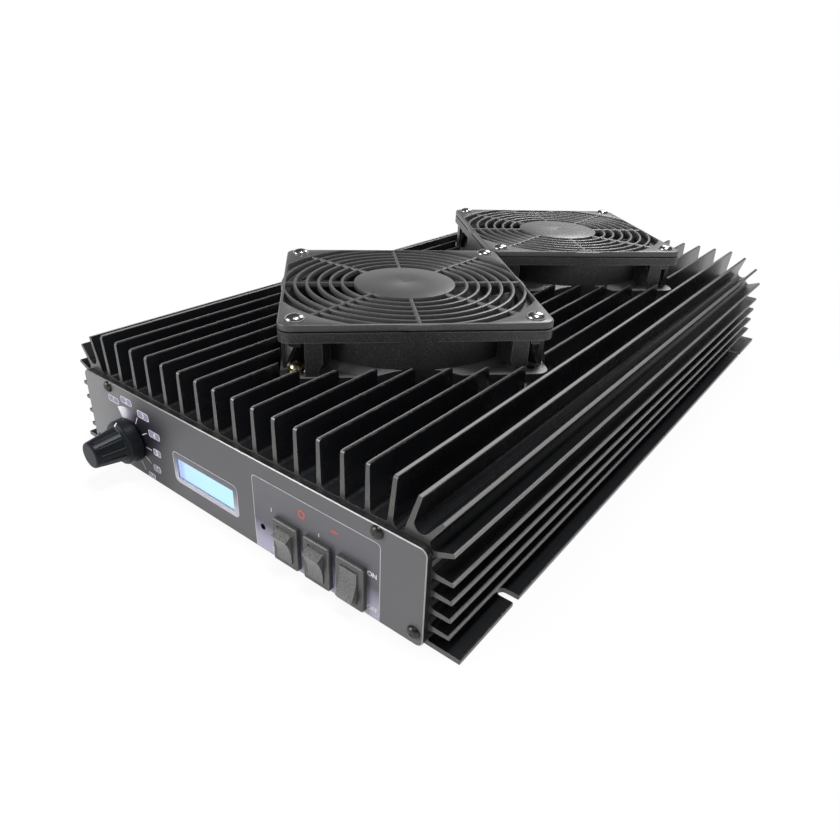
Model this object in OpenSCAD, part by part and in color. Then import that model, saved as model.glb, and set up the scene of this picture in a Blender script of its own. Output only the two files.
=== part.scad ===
// HF linear amplifier: a finned aluminium case with two axial fans set square to the
// diagonal, a front panel with a band knob, a display and three rocker switches.
// Lengths are millimetres. X runs to the right as seen from the front, Y to the back, Z up.
// The origin is under the middle of the whole amplifier, on the surface it stands on.

/* [Case] */
// Length of the finned case, front to back
body_l = 397; // [390:1:420]
// Half width of the case walls, outside
wall_x = 104; // [103:0.5:106]
// Thickness of the case walls
wall_t = 4; // [3:0.5:5]
// Height of the top plate above the table
plate_top = 44; // [43.5:0.5:50]
// Thickness of the top plate
plate_t = 4; // [3.5:0.5:6]
// Reach of the mounting flanges from the middle
flange_x = 118.3; // [117:0.1:124]
// Thickness of the mounting flanges
flange_t = 2.2; // [2:0.1:3]
// Width of each open slot in the flanges
slot_w = 4.6; // [4:0.2:6]
// Depth of each open slot from the flange's edge
slot_d = 8; // [6:0.5:9]
// Distance of the slots from the case ends
slot_inset = 37.8; // [30:0.2:60]

/* [Fins] */
// Distance between the upright fins
fin_pitch = 11.7; // [11.4:0.1:11.9]
// Upright fins on each side of the middle
fins_a_side = 7; // [5:1:7]
// Height of the fins above the top plate
fin_h = 20; // [14:0.5:21]
// Thickness of a fin at its root
fin_root_t = 2.3; // [2:0.1:2.8]
// Thickness of a fin at its tip
fin_tip_t = 1.7; // [1.2:0.1:1.9]
// Fillet at the foot of a fin
fin_foot = 1.3; // [0.8:0.1:1.6]
// Height of the lowest side fin
side_fin_z = 8.8; // [8:0.1:9.5]
// Distance between the side fins
side_fin_pitch = 7.85; // [7.2:0.05:7.9]
// Reach of the side fins from the middle
side_fin_x = 113.4; // [111:0.1:116]
// Radius on the front and back top corners of the fins
fin_nose_r = 1.6; // [1:0.1:2.5]

/* [Covers] */
// Thickness of the front panel
panel_t = 3; // [2.5:0.1:4]
// Overhang of the front panel past the walls
panel_over = 0.3; // [0:0.1:0.8]
// Height of the front panel's lower edge
panel_z0 = 0.3; // [0.2:0.1:1]
// Corner radius of the panels
panel_r = 3; // [2:0.5:5]
// Bevel on the panels' outer edge
panel_bevel = 0.35; // [0.3:0.05:1]
// Thickness of the rear panel
rear_t = 2.5; // [2:0.1:4]
// Thickness of the bottom cover
cover_t = 2; // [1.5:0.1:2.5]
// How far the bottom cover sits above the table
cover_lift = 0.4; // [0.2:0.1:0.8]
// Screws along each side of the bottom cover
cover_screws = 5; // [3:1:7]

/* [Fans] */
// Side of the square fans
fan_side = 120; // [119:0.5:120.5]
// Depth of the fans
fan_h = 25; // [24:0.5:32]
// Distance of the fan's screw holes from its edges
fan_hole_in = 7.5; // [7.3:0.1:7.8]
// Corner radius of the fans
fan_r = 6; // [4:0.5:7]
// Thickness of a fan's two flanges
fan_flange_t = 4.5; // [3.5:0.1:5.5]
// Wall of the fan's duct where it is flush with the fan's sides
duct_wall = 2.4; // [2:0.1:4]
// Distance of the front fan's corner from the case front
fan_front_in = 31.8; // [28:0.2:33.6]
// Gap between the corners of the two fans
fan_between = 1.7; // [0.8:0.1:7]
// Length of the spacers under the fans
fan_lift = 11.5; // [10:0.5:16]
// Gap between a fan and the fins milled away for it
fan_gap = 0.6; // [0.4:0.1:1]
// Number of fan blades
blades = 7; // [5:1:9]
// Radius of the fan hub
hub_r = 20; // [18:0.5:22]
// Gap between the blade tips and the duct
blade_gap = 1; // [0.8:0.1:2]
// Radius of the fan's axle
axle_r = 1.5; // [1.4:0.1:2]

/* [Fan guards] */
// Thickness of the guard's frame
guard_t = 3.7; // [3:0.1:4.5]
// Thickness of the guard's rings and spokes
guard_rib_t = 2.4; // [1.8:0.1:3]
// Radius of the guard's middle disc
guard_disc_r = 25.4; // [22:0.2:27]
// Number of rings
guard_rings = 6; // [4:1:7]
// Width of a ring
guard_ring_w = 1.6; // [1.2:0.1:2]
// Width of a spoke
guard_spoke_w = 2; // [1.6:0.1:2.6]
// Reach of the guard's corner openings past its sides
guard_open = 5.5; // [3:0.5:7]

/* [Band knob] */
// Sideways place of the knob's axis
knob_x = -70; // [-75:0.5:-68]
// Height of the knob's axis
knob_z = 17.6; // [16:0.2:20]
// Radius of the knob's skirt
skirt_r = 11; // [9.8:0.1:12]
// Depth of the knob's skirt
skirt_h = 6.5; // [6:0.1:8]
// Whole depth of the knob
knob_h = 20.5; // [19:0.5:26]
// Radius of the knob's barrel where it meets the skirt
barrel_r = 8.3; // [7.6:0.1:8.8]
// Radius of the knob's cap
cap_r = 6.4; // [5.8:0.1:7]
// Gap between the knob and the panel
knob_gap = 0.5; // [0.4:0.1:1]
// Flutes round the barrel
flutes = 12; // [8:1:16]
// Radius of the switch shaft
shaft_r = 3; // [2.8:0.1:3.2]

/* [Display] */
// Sideways place of the display's middle
lcd_x = -14.5; // [-18:0.5:-12]
// Height of the display's middle
lcd_z = 16.5; // [15:0.5:20]
// Width of the display window
lcd_w = 38.6; // [30:0.2:40]
// Height of the display window
lcd_h = 10.2; // [9:0.2:12]

/* [Switches] */
// Sideways place of the first rocker switch
switch_x = 37.9; // [37:0.1:39]
// Distance between the rocker switches
switch_pitch = 17; // [16:0.1:17.4]
// Height of the switches' middle
switch_z = 12.3; // [12:0.1:16]
// Width of a switch bezel
bezel_w = 13.6; // [13:0.1:14.4]
// Height of a switch bezel
bezel_h = 20; // [19.6:0.1:22]
// Thickness of a switch bezel
bezel_t = 2.2; // [1.8:0.1:2.6]
// Width of a rocker
rocker_w = 8; // [7:0.1:8.4]
// Radius from the rocker's pivot to its ends
rocker_r = 7.8; // [7.4:0.1:8]
// Angle that a rocker tips to each side
rocker_tip = 13.5; // [10:0.5:14]
// Sideways place of the set button
set_x = 22.7; // [21:0.1:24]
// Radius of the hole over the set button
set_hole_r = 1.4; // [1.2:0.1:2]
// Travel of the set button
set_travel = 0.5; // [0.3:0.1:0.8]

/* [Sockets] */
// Distance of the aerial sockets from the middle
socket_x = 78; // [70:0.5:80]
// Height of the aerial sockets
socket_z = 22; // [20:0.5:24]
// Radius over the thread of an aerial socket
socket_r = 7.9; // [7.8:0.05:8]
// Length of an aerial socket behind the rear panel
socket_l = 15; // [14:0.5:20]
// Side of an aerial socket's flange
socket_flange = 25.4; // [24.5:0.1:26]
// Distance between the flange's screw holes
socket_pitch = 18.2; // [17.8:0.1:18.4]
// Sideways place of the keying jack
jack_x = -40; // [-46:0.5:-36]
// Sideways place of the power lead's grommet
grommet_x = 22; // [18:0.5:28]
// Radius of the grommet's bore
grommet_bore = 5.5; // [4:0.1:6.5]
// Sideways place of the ground terminal
ground_x = -12; // [-16:0.5:-8]

/* [Hidden] */
$fn = 48;
touch = 0.01;
cut = 1;
half_turn = 180;

// Clearances and fasteners
running = 0.05;
slip = 0.2;
m3_r = 1.5;
m3_tap_r = 1.25;
m3_pass_r = 1.7;
m3_head_r = 2.75;
m3_head_h = 1.9;
m4_r = 2;
m4_tap_r = 1.7;
m4_pass_r = 2.2;
m4_washer_r = 4.5;
m4_washer_t = 1;
m4_nut_r = 4;
m4_nut_t = 3.2;
nut_points = 6;

// Case heights and reaches
fin_tip_z = plate_top + fin_h;
ceiling = plate_top - plate_t;
inner_x = wall_x - wall_t;
cover_top = cover_lift + cover_t;
ledge = 2;
rib_w = 6.5;
rib_h = 7.1;
edge_nick = 0.3;
arc_steps = 6;
side_foot = 2;
port_r = 3;
port_depth = 15;
top_port_x = 83.2;
top_port_z = ceiling + 0.8;
low_port_x = inner_x + 0.4;
low_port_z = cover_top + 3.6;
cover_screw_x = inner_x - 2.4;
cover_end = 0.2;

// Fans, from the case upwards
fan_seat = plate_top + fan_lift;
fan_top = fan_seat + fan_h;
guard_seat = fan_top;
guard_top = guard_seat + guard_t;
shroud_r = fan_side / 2 + 0.4;
duct_r = fan_side / 2 - duct_wall;
fan_hole = fan_side / 2 - fan_hole_in;
fan_reach = fan_hole * sqrt(2);
corner_reach = fan_side / 2 * sqrt(2) - (sqrt(2) - 1) * fan_r;
fan_1_y = fan_front_in + corner_reach;
fan_2_y = fan_1_y + 2 * corner_reach + fan_between;
fan_places = [fan_1_y, fan_2_y];
pocket_floor = plate_top - 0.2;
guard_ring_r = fan_side / 2;
guard_open_r = fan_side / 2 + guard_open;
guard_head_r = 4.35;
guard_head_h = 2.3;
fan_bearing_r = 4;
fan_base_t = 2.6;

// Front panel
panel_w = 2 * (wall_x + panel_over);
panel_h = plate_top - 0.4 - panel_z0;
panel_mid = panel_z0 + panel_h / 2;
bushing_r = 3.6;
bushing_l = 3.5;
shaft_foot = 8;
nut_r = 5.8;
nut_t = 2;
knob_back = panel_t + knob_gap;
knob_front = knob_back + knob_h;
bezel_front = panel_t + bezel_t;
pivot_y = -(panel_t - 0.6);
rocker_dip = 1;
rocker_rear = 3.5;
rocker_rear_h = 6.2;
tip_angle = 51;
window_h = 2 * (rocker_r - 0.2);
neck_w = rocker_w + 4.2;
neck_h = window_h + 2.4;
trunnion_r = 1.2;
trunnion_l = 0.9;
switch_body_y = 19;
switch_count = 3;
board_y = 9.6;
board_t = 1.6;

// Hanging boards under the top plate
spacer_h = 4;
board_top = ceiling - spacer_h;
power_w = 150;
power_l = 150;
filter_w = 150;
filter_l = 78;
filter_back = 19;
filter_y = body_l - filter_back - filter_l;
board_between = 22;
power_y = filter_y - board_between - power_l;
board_hole_in = 6;

// Reach in front of and behind the case, which sets the origin
front_reach = knob_front;
rear_reach = rear_t + socket_l;
front_y = (front_reach - body_l - rear_reach) / 2;

// ---------------------------------------------------------------- helpers

// Everything is drawn with the case front at Y = 0 and then moved to the origin
module placed() {
    translate([0, front_y, 0]) children();
}

module mirrored_x() {
    children();
    mirror([1, 0, 0]) children();
}

// Points a shape drawn along +Z forwards, out of the front panel
module facing_front() {
    rotate([90, 0, 0]) children();
}

// Points a shape drawn along +Z backwards, out of the rear panel
module facing_rear() {
    rotate([-90, 0, 0]) children();
}

module rounded_rect(w, h, r) {
    hull()
        for (x = [-1, 1], y = [-1, 1])
            translate([x * (w / 2 - r), y * (h / 2 - r)]) circle(r, $fn = 32);
}

// A plate with round corners and a bevel round its upper edge, and one below if asked
module bevelled_plate(w, h, t, r, bevel, under = 0) {
    hull() {
        translate([0, 0, under]) linear_extrude(t - bevel - under) rounded_rect(w, h, r);
        linear_extrude(t) rounded_rect(w - 2 * bevel, h - 2 * bevel, r - bevel);
    }
}

// Cross-recessed pan head on a shank; the head's underside is at Z = 0
module pan_screw(shank_r, shank_l, head_r, head_h) {
    cross_w = head_r * 0.26;
    cross_l = head_r * 1.15;
    difference() {
        union() {
            translate([0, 0, -shank_l]) cylinder(r = shank_r, h = shank_l + touch);
            cylinder(r = head_r, h = head_h * 0.45);
            translate([0, 0, head_h * 0.45 - touch])
                cylinder(r1 = head_r, r2 = head_r * 0.62, h = head_h * 0.55 + touch);
        }
        for (a = [0, 90])
            rotate([0, 0, a])
                translate([-cross_l / 2, -cross_w / 2, head_h * 0.5])
                    cube([cross_l, cross_w, head_h]);
    }
}

module washer(outer_r, inner_r, t) {
    difference() {
        cylinder(r = outer_r, h = t);
        translate([0, 0, -cut]) cylinder(r = inner_r, h = t + 2 * cut);
    }
}

module hex_nut(r, bore, t) {
    difference() {
        cylinder(r = r, h = t, $fn = nut_points);
        translate([0, 0, -cut]) cylinder(r = bore, h = t + 2 * cut);
    }
}

// ---------------------------------------------------------------- heatsink profile

function unit(v) = v / norm(v);

// A fin is [root, tip]; its first side is the one on the left of its direction
function up_of(fin) = unit(fin[1] - fin[0]);
function side_of(fin) = let (up = up_of(fin)) [-up.y, up.x];

// Fillet at the foot on the first side (1) or the second side (-1), going clockwise round the case
function foot_arc(fin, which, foot) =
    let (
        up = up_of(fin),
        side = which * side_of(fin),
        centre = fin[0] + side * (fin_root_t / 2 + foot) + up * foot
    )
    [for (a = which > 0 ? [0:30:90] : [90:-30:0]) centre - foot * (up * cos(a) + side * sin(a))];

function tip_outline(fin) =
    let (up = up_of(fin), side = side_of(fin), half_tip = fin_tip_t / 2)
    [
        fin[1] + side * half_tip - up * edge_nick,
        fin[1] + side * (half_tip - edge_nick),
        fin[1] - side * (half_tip - edge_nick),
        fin[1] - side * half_tip - up * edge_nick
    ];

function fin_outline(fin, foot) =
    concat(foot_arc(fin, 1, foot), tip_outline(fin), foot_arc(fin, -1, foot));

// Round bottom of the channel between two fins that lean apart: an arc that touches both
function channel_arc(fin, next, r) =
    let (
        p = fin[0] - side_of(fin) * fin_root_t / 2,
        q = next[0] + side_of(next) * fin_root_t / 2,
        u = unit(fin[1] - side_of(fin) * fin_tip_t / 2 - p),
        v = unit(next[1] + side_of(next) * fin_tip_t / 2 - q),
        n = [u.y, -u.x],
        m = [-v.y, v.x],
        a = p * n + r,
        b = q * m + r,
        det = n.x * m.y - n.y * m.x,
        centre = [(a * m.y - b * n.y) / det, (b * n.x - a * m.x) / det],
        start = atan2(-n.y, -n.x),
        end = atan2(-m.y, -m.x),
        turn = (end - start + 360) % 360
    )
    [
        for (i = [0:arc_steps])
            let (angle = start + turn * i / arc_steps) centre + r * [cos(angle), sin(angle)]
    ];

top_fins = [
    for (i = [0:fins_a_side - 1])
        let (x = (i + 0.5) * fin_pitch)
            each fin_outline([[x, plate_top], [x, fin_tip_z]], fin_foot)
];

side_fins = [
    for (i = [3:-1:0])
        let (z = side_fin_z + i * side_fin_pitch) [[wall_x, z], [side_fin_x, z]]
];

// Fins that fan out round the corner of the case, with round channels between them
corner_fins = [
    [[wall_x - 17.9, plate_top], [wall_x - 16, fin_tip_z + 0.1]],
    [[wall_x - 10.6, plate_top + 0.3], [wall_x - 5.6, fin_tip_z - 3.1]],
    [[wall_x - 2.9, plate_top + 0.6], [wall_x + 4, plate_top + 10.3]],
    [[wall_x - 0.3, plate_top - 3.4], [wall_x + 8.7, plate_top + 0.3]]
];
channel_r = [2.6, 3.2, 2.1, 3.5];
last_corner = len(corner_fins) - 1;
corner_outline = concat(
    foot_arc(corner_fins[0], 1, fin_foot),
    [
        for (i = [0:last_corner])
            let (next = i < last_corner ? corner_fins[i + 1] : side_fins[0])
                each concat(tip_outline(corner_fins[i]), channel_arc(corner_fins[i], next, channel_r[i]))
    ]
);
side_outline = concat(
    tip_outline(side_fins[0]),
    foot_arc(side_fins[0], -1, side_foot),
    [for (i = [1:3]) each fin_outline(side_fins[i], side_foot)]
);

flange_outline = [
    [wall_x, flange_t + fin_foot],
    [wall_x + 0.3 * fin_foot, flange_t + 0.3 * fin_foot],
    [wall_x + fin_foot, flange_t],
    [flange_x - edge_nick, flange_t],
    [flange_x, flange_t - edge_nick],
    [flange_x, edge_nick],
    [flange_x - edge_nick, 0]
];

inside_outline = [
    [inner_x + ledge, 0],
    [inner_x + ledge, cover_top],
    [inner_x - rib_w + ledge, cover_top],
    [inner_x - rib_w + ledge, cover_top + rib_h],
    [inner_x, cover_top + rib_h + 2],
    [inner_x, ceiling - 2],
    [inner_x - 0.6, ceiling - 0.6],
    [inner_x - 2, ceiling]
];

half_profile = concat(top_fins, corner_outline, side_outline, flange_outline, inside_outline);
last_point = len(half_profile) - 1;
mirror_profile = [for (i = [last_point:-1:0]) [-half_profile[i].x, half_profile[i].y]];

// The bare extrusion, with its two screw ports under the top plate, drawn along +Z
module case_extrusion() {
    linear_extrude(body_l) polygon(concat(half_profile, mirror_profile));
    mirrored_x() translate([top_port_x, top_port_z, 0]) cylinder(r = port_r, h = body_l);
}

module fan_outline(grow) {
    rotate([0, 0, 45]) rounded_rect(fan_side + 2 * grow, fan_side + 2 * grow, fan_r + grow);
}

// Rounds the top corner that the end of the fins would have
module fin_nose_cutter() {
    translate([-flange_x, 0, fin_tip_z - fin_nose_r])
        rotate([90, 0, 90])
            linear_extrude(2 * flange_x)
                difference() {
                    translate([-cut, 0]) square([fin_nose_r + cut, fin_nose_r + cut]);
                    translate([fin_nose_r, 0]) circle(fin_nose_r);
                }
}

cover_screw_y = [
    for (i = [0:cover_screws - 1]) 25 + i * (body_l - 50) / (cover_screws - 1)
];

fan_screw_y = [for (y = fan_places) each [y - fan_reach, y + fan_reach]];

module heatsink() {
    color("#1b1c1f") placed() difference() {
        facing_rear() mirror([0, 1, 0]) case_extrusion();
        // pockets milled through the fins for the fans
        for (y = fan_places)
            translate([0, y, pocket_floor]) linear_extrude(fin_h + cut) fan_outline(fan_gap);
        // noses of the fins
        fin_nose_cutter();
        translate([0, body_l, 0]) mirror([0, 1, 0]) fin_nose_cutter();
        // open slots in the mounting flanges
        for (y = [slot_inset, body_l - slot_inset])
            mirrored_x() {
                translate([flange_x - slot_d + slot_w / 2, y - slot_w / 2, -cut])
                    cube([slot_d, slot_w, flange_t + 2 * cut]);
                translate([flange_x - slot_d + slot_w / 2, y, -cut])
                    cylinder(r = slot_w / 2, h = flange_t + 2 * cut);
            }
        // tapped ports for the two end panels
        for (end = [0, body_l])
            mirrored_x() {
                translate([top_port_x, end, top_port_z])
                    facing_rear() cylinder(r = m3_tap_r, h = 2 * port_depth, center = true);
                translate([low_port_x, end, low_port_z])
                    facing_rear() cylinder(r = m3_tap_r, h = 2 * port_depth, center = true);
            }
        // tapped holes for the bottom cover
        for (y = cover_screw_y)
            mirrored_x()
                translate([cover_screw_x, y, cover_top - cut])
                    cylinder(r = m3_tap_r, h = rib_h + cut - 1);
        // tapped holes for the fans
        for (y = fan_screw_y)
            translate([0, y, ceiling - cut]) cylinder(r = m4_tap_r, h = plate_t + 2 * cut);
        // tapped holes in the ceiling for the boards and the transistors
        for (p = concat(board_holes, transistor_holes))
            translate([p.x, p.y, ceiling - cut]) cylinder(r = m3_tap_r, h = plate_t - 1 + cut);
    }
}

// ---------------------------------------------------------------- covers

module bottom_cover() {
    color("#202124") placed() difference() {
        translate([-(inner_x + ledge - cover_end), cover_end, cover_lift])
            cube([2 * (inner_x + ledge - cover_end), body_l - 2 * cover_end, cover_t]);
        for (y = cover_screw_y)
            mirrored_x()
                translate([cover_screw_x, y, cover_lift]) {
                    translate([0, 0, -cut]) cylinder(r = m3_pass_r, h = cover_t + 2 * cut);
                    translate([0, 0, -touch]) cylinder(r1 = 3.1, r2 = m3_pass_r, h = 1.4);
                }
    }
}

module bottom_cover_screws() {
    color("#3a3b3e") placed()
        for (y = cover_screw_y)
            mirrored_x()
                translate([cover_screw_x, y, cover_lift]) difference() {
                    union() {
                        cylinder(r1 = 2.9, r2 = m3_r, h = 1.4);
                        cylinder(r = m3_tap_r, h = cover_t + 5);
                    }
                    for (a = [0, 90])
                        rotate([0, 0, a]) translate([-1.6, -0.35, -touch]) cube([3.2, 0.7, 0.9]);
                }
}

panel_ports = [
    [top_port_x, top_port_z], [-top_port_x, top_port_z],
    [low_port_x, low_port_z], [-low_port_x, low_port_z]
];

module front_panel() {
    color("#6c6c70") placed() difference() {
        translate([0, 0, panel_mid])
            facing_front() bevelled_plate(panel_w, panel_h, panel_t, panel_r, panel_bevel);
        for (p = panel_ports)
            translate([p.x, 0, p.y])
                facing_front() cylinder(r = m3_pass_r, h = 4 * panel_t, center = true);
        translate([knob_x, 0, knob_z])
            facing_front() cylinder(r = bushing_r + 0.1, h = 4 * panel_t, center = true);
        translate([set_x, 0, switch_z])
            facing_front() cylinder(r = set_hole_r, h = 4 * panel_t, center = true);
        translate([lcd_x - lcd_w / 2, -2 * panel_t, lcd_z - lcd_h / 2])
            cube([lcd_w, 4 * panel_t, lcd_h]);
        for (i = [0:switch_count - 1])
            translate([switch_x + i * switch_pitch, 0, switch_z])
                cube([neck_w + slip, 4 * panel_t, neck_h + slip], center = true);
    }
}

// Four panel screws, pointing out of whichever end they close
module panel_screws(t) {
    for (p = panel_ports)
        translate([p.x, p.y, t]) pan_screw(m3_tap_r, t + 9, m3_head_r, m3_head_h);
}

module front_panel_screws() {
    color("#26272a") placed() facing_front() panel_screws(panel_t);
}

module rear_panel_screws() {
    color("#26272a") placed()
        translate([0, body_l, 0]) facing_rear() mirror([0, 1, 0]) panel_screws(rear_t);
}

socket_places = [socket_x, -socket_x];
socket_holes = [
    for (x = socket_places, i = [-1, 1], j = [-1, 1])
        [x + i * socket_pitch / 2, socket_z + j * socket_pitch / 2]
];
jack_z = socket_z;
jack_thread_r = 4.8;
jack_shell_r = 4.1;
jack_collar = 2.5;
jack_shell_l = 7.5;
grommet_r = grommet_bore + 2;
grommet_z = 18;
ground_z = 14;

module rear_panel() {
    color("#2a2b2e") placed() translate([0, body_l, 0]) difference() {
        translate([0, 0, panel_mid])
            facing_rear() bevelled_plate(panel_w, panel_h, rear_t, panel_r, panel_bevel);
        for (p = concat(panel_ports, socket_holes))
            translate([p.x, 0, p.y])
                facing_rear() cylinder(r = m3_pass_r, h = 4 * rear_t, center = true);
        for (x = socket_places)
            translate([x, 0, socket_z])
                facing_rear() cylinder(r = socket_r + slip, h = 4 * rear_t, center = true);
        translate([jack_x, 0, jack_z])
            facing_rear() cylinder(r = jack_thread_r + slip, h = 4 * rear_t, center = true);
        translate([grommet_x, 0, grommet_z])
            facing_rear() cylinder(r = grommet_r, h = 4 * rear_t, center = true);
        translate([ground_x, 0, ground_z])
            facing_rear() cylinder(r = m4_pass_r, h = 4 * rear_t, center = true);
    }
}

// ---------------------------------------------------------------- display

lcd_flange = 1.6;
lcd_flange_t = 0.8;
lcd_glass_t = 2.2;
lcd_border = 1;
lcd_rim = 3;
lcd_frame_t = 4;

// A block with its middle at X = 0 and Z = 0, starting at depth y
module upright_block(w, y, depth, h) {
    translate([-w / 2, y, -h / 2]) cube([w, depth, h]);
}

module lcd_window() {
    color("#cfe9ff") placed() translate([lcd_x, 0, lcd_z]) {
        upright_block(lcd_w - slip, -(panel_t - 0.5), panel_t - 0.5 + touch, lcd_h - slip);
        upright_block(lcd_w + 2 * lcd_flange, 0, lcd_flange_t, lcd_h + 2 * lcd_flange);
    }
}

module lcd_glass() {
    color("#9fe4ff") placed() translate([lcd_x, 0, lcd_z])
        upright_block(lcd_w + 2 * lcd_border, lcd_flange_t, lcd_glass_t, lcd_h + 2 * lcd_border);
}

lcd_board_y = lcd_flange_t + lcd_frame_t;

module lcd_module() {
    glass_w = lcd_w + 2 * lcd_border;
    glass_h = lcd_h + 2 * lcd_border;
    frame_w = glass_w + 2 * lcd_rim;
    frame_h = glass_h + 2 * lcd_rim;
    color("#8f9296") placed() translate([lcd_x, 0, lcd_z]) {
        difference() {
            upright_block(frame_w, lcd_flange_t, lcd_frame_t, frame_h);
            upright_block(glass_w + slip, lcd_flange_t - cut, lcd_glass_t + cut, glass_h + slip);
        }
        upright_block(frame_w + 4, lcd_board_y - touch, board_t, frame_h + 4);
        // strip of pins that plugs into the control board
        translate([0, 0, frame_h / 2])
            upright_block(frame_w - 4, lcd_board_y, board_y - lcd_board_y, 2.5);
    }
}

// ---------------------------------------------------------------- control board

board_lo_x = -48;
board_hi_x = 26.5;
board_lo_z = cover_top + 2.5;
board_hi_z = ceiling - 3;
post_in = 3.5;
board_posts = [
    [board_lo_x + post_in, board_hi_z - post_in], [board_hi_x - post_in, board_hi_z - post_in],
    [board_lo_x + post_in, board_lo_z + post_in]
];

module control_board() {
    color("#1f5a3c") placed() difference() {
        translate([board_lo_x, board_y, board_lo_z])
            cube([board_hi_x - board_lo_x, board_t, board_hi_z - board_lo_z]);
        for (p = board_posts)
            translate([p.x, board_y, p.y])
                facing_rear() cylinder(r = m3_tap_r, h = 4 * board_t, center = true);
    }
}

module control_board_spacers() {
    color("#b9a35a") placed()
        for (p = board_posts)
            translate([p.x, 0, p.y]) facing_rear() {
                cylinder(r = 2.5, h = board_y);
                cylinder(r = m3_tap_r, h = board_y + board_t + 1.5);
                translate([0, 0, board_y + board_t]) cylinder(r = 2.4, h = 1.5);
            }
}

set_front = 1.2;
set_pad_y = 4.6;

module set_switch() {
    color("#2c2d30") placed() translate([set_x, 0, switch_z]) difference() {
        translate([-3, set_pad_y, -3]) cube([6, board_y - set_pad_y, 6]);
        translate([0, set_pad_y - cut, 0])
            facing_rear() cylinder(r = 1.75 + running, h = 3.5 + cut);
    }
}

module set_button() {
    color("#101113") placed() translate([set_x, 0, switch_z]) facing_rear() {
        translate([0, 0, -set_front]) cylinder(r = set_hole_r - slip, h = set_front + 3 + touch);
        translate([0, 0, 3]) cylinder(r = 1.75, h = set_pad_y + 3.5 - 3 - set_travel - 0.1);
    }
}

// ---------------------------------------------------------------- band switch and knob

module band_switch() {
    color("#4a4b4f") placed() translate([knob_x, 0, knob_z]) difference() {
        union() {
            facing_rear() cylinder(r = 12.5, h = 3);
            translate([0, 3 - touch, 0]) facing_rear() cylinder(r = 11, h = 13);
            translate([0, touch, 0])
                facing_front() cylinder(r = bushing_r, h = panel_t + bushing_l);
            // two rows of solder tags
            for (z = [-6, 6], x = [-6:3:6])
                translate([x - 0.8, 16 - touch, z - 0.3]) cube([1.6, 4, 0.6]);
        }
        translate([0, shaft_foot + 0.2, 0])
            facing_front() cylinder(r = shaft_r + running, h = shaft_foot + panel_t + bushing_l + cut);
    }
}

module band_switch_nut() {
    color("#b8bbc0") placed() translate([knob_x, -panel_t, knob_z])
        facing_front() hex_nut(nut_r, bushing_r, nut_t);
}

shaft_top = knob_front - 3;

module band_switch_shaft() {
    color("#c4c7cb") placed() translate([knob_x, shaft_foot, knob_z])
        facing_front() cylinder(r = shaft_r, h = shaft_foot + shaft_top);
}

grub_z = skirt_h + 2.4;
grub_l = 4.4;
flute_r = 0.8;
flute_depth = 0.5;

// Everything on the knob is drawn with its axis along Z and its back face at Z = 0
module knob_body() {
    barrel_h = knob_h - skirt_h;
    lean = atan((barrel_r - cap_r) / barrel_h);
    difference() {
        rotate_extrude() polygon([
            [0, 0], [skirt_r - 0.3, 0], [skirt_r, 0.3], [skirt_r - 0.25, skirt_h - 1.1],
            [skirt_r - 0.6, skirt_h - 0.5], [skirt_r - 1.4, skirt_h], [barrel_r + 0.5, skirt_h],
            [barrel_r, skirt_h + 0.5], [cap_r, knob_h - 0.9], [cap_r - 0.3, knob_h - 0.25],
            [cap_r - 1, knob_h], [0, knob_h]
        ]);
        // flutes follow the barrel's taper and fade into the cap
        for (i = [0:flutes - 1])
            rotate([0, 0, (i + 0.5) * 360 / flutes])
                translate([barrel_r + flute_r - flute_depth, 0, skirt_h + 0.8])
                    rotate([0, -lean, 0]) cylinder(r = flute_r, h = barrel_h - 3.2);
        // recess over the nut and the bushing
        translate([0, 0, -cut]) cylinder(r = nut_r + 0.6, h = bushing_l + 0.5 + cut);
        translate([0, 0, -cut]) cylinder(r = shaft_r, h = shaft_top - knob_back + cut);
        // hole of the grub screw, on the underside
        translate([0, 0, grub_z]) facing_front() cylinder(r = m3_tap_r, h = 2 * skirt_r);
    }
}

module band_knob() {
    color("#17181a") placed() translate([knob_x, -knob_back, knob_z]) facing_front() knob_body();
}

module knob_grub_screw() {
    color("#8b8d90") placed() translate([knob_x, -knob_back, knob_z]) facing_front()
        translate([0, -shaft_r, grub_z]) facing_front() difference() {
            cylinder(r = m3_tap_r, h = grub_l);
            translate([0, 0, grub_l - 1.5]) cylinder(r = 0.75, h = 2, $fn = nut_points);
        }
}

// ---------------------------------------------------------------- rocker switches

module switch_housing(i) {
    color("#1d1e20") placed() translate([switch_x + i * switch_pitch, 0, switch_z]) difference() {
        union() {
            translate([0, -panel_t, 0])
                facing_front() bevelled_plate(bezel_w, bezel_h, bezel_t, 0.9, 0.3);
            translate([-neck_w / 2, -panel_t - touch, -neck_h / 2])
                cube([neck_w, panel_t + switch_body_y, neck_h]);
            for (z = [-5, 0, 5])
                translate([-2.4, switch_body_y - 1, z - 0.4]) cube([4.8, 8, 0.8]);
        }
        translate([-rocker_w / 2 - slip, -bezel_front - cut, -window_h / 2])
            cube([rocker_w + 2 * slip, bezel_front + cut + 6, window_h]);
        translate([0, pivot_y, 0]) rotate([0, 90, 0])
            cylinder(r = trunnion_r + running, h = rocker_w + 2 * (trunnion_l + slip), center = true);
    }
}

// How far a rocker's two edges stand in front of the pivot, above it, and the hollow's radius
tip_reach = rocker_r * cos(tip_angle);
tip_half = rocker_r * sin(tip_angle);
dip_r = (tip_half * tip_half + rocker_dip * rocker_dip) / (2 * rocker_dip);
end_half = tip_half + tip_reach * tan(rocker_tip);

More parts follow.
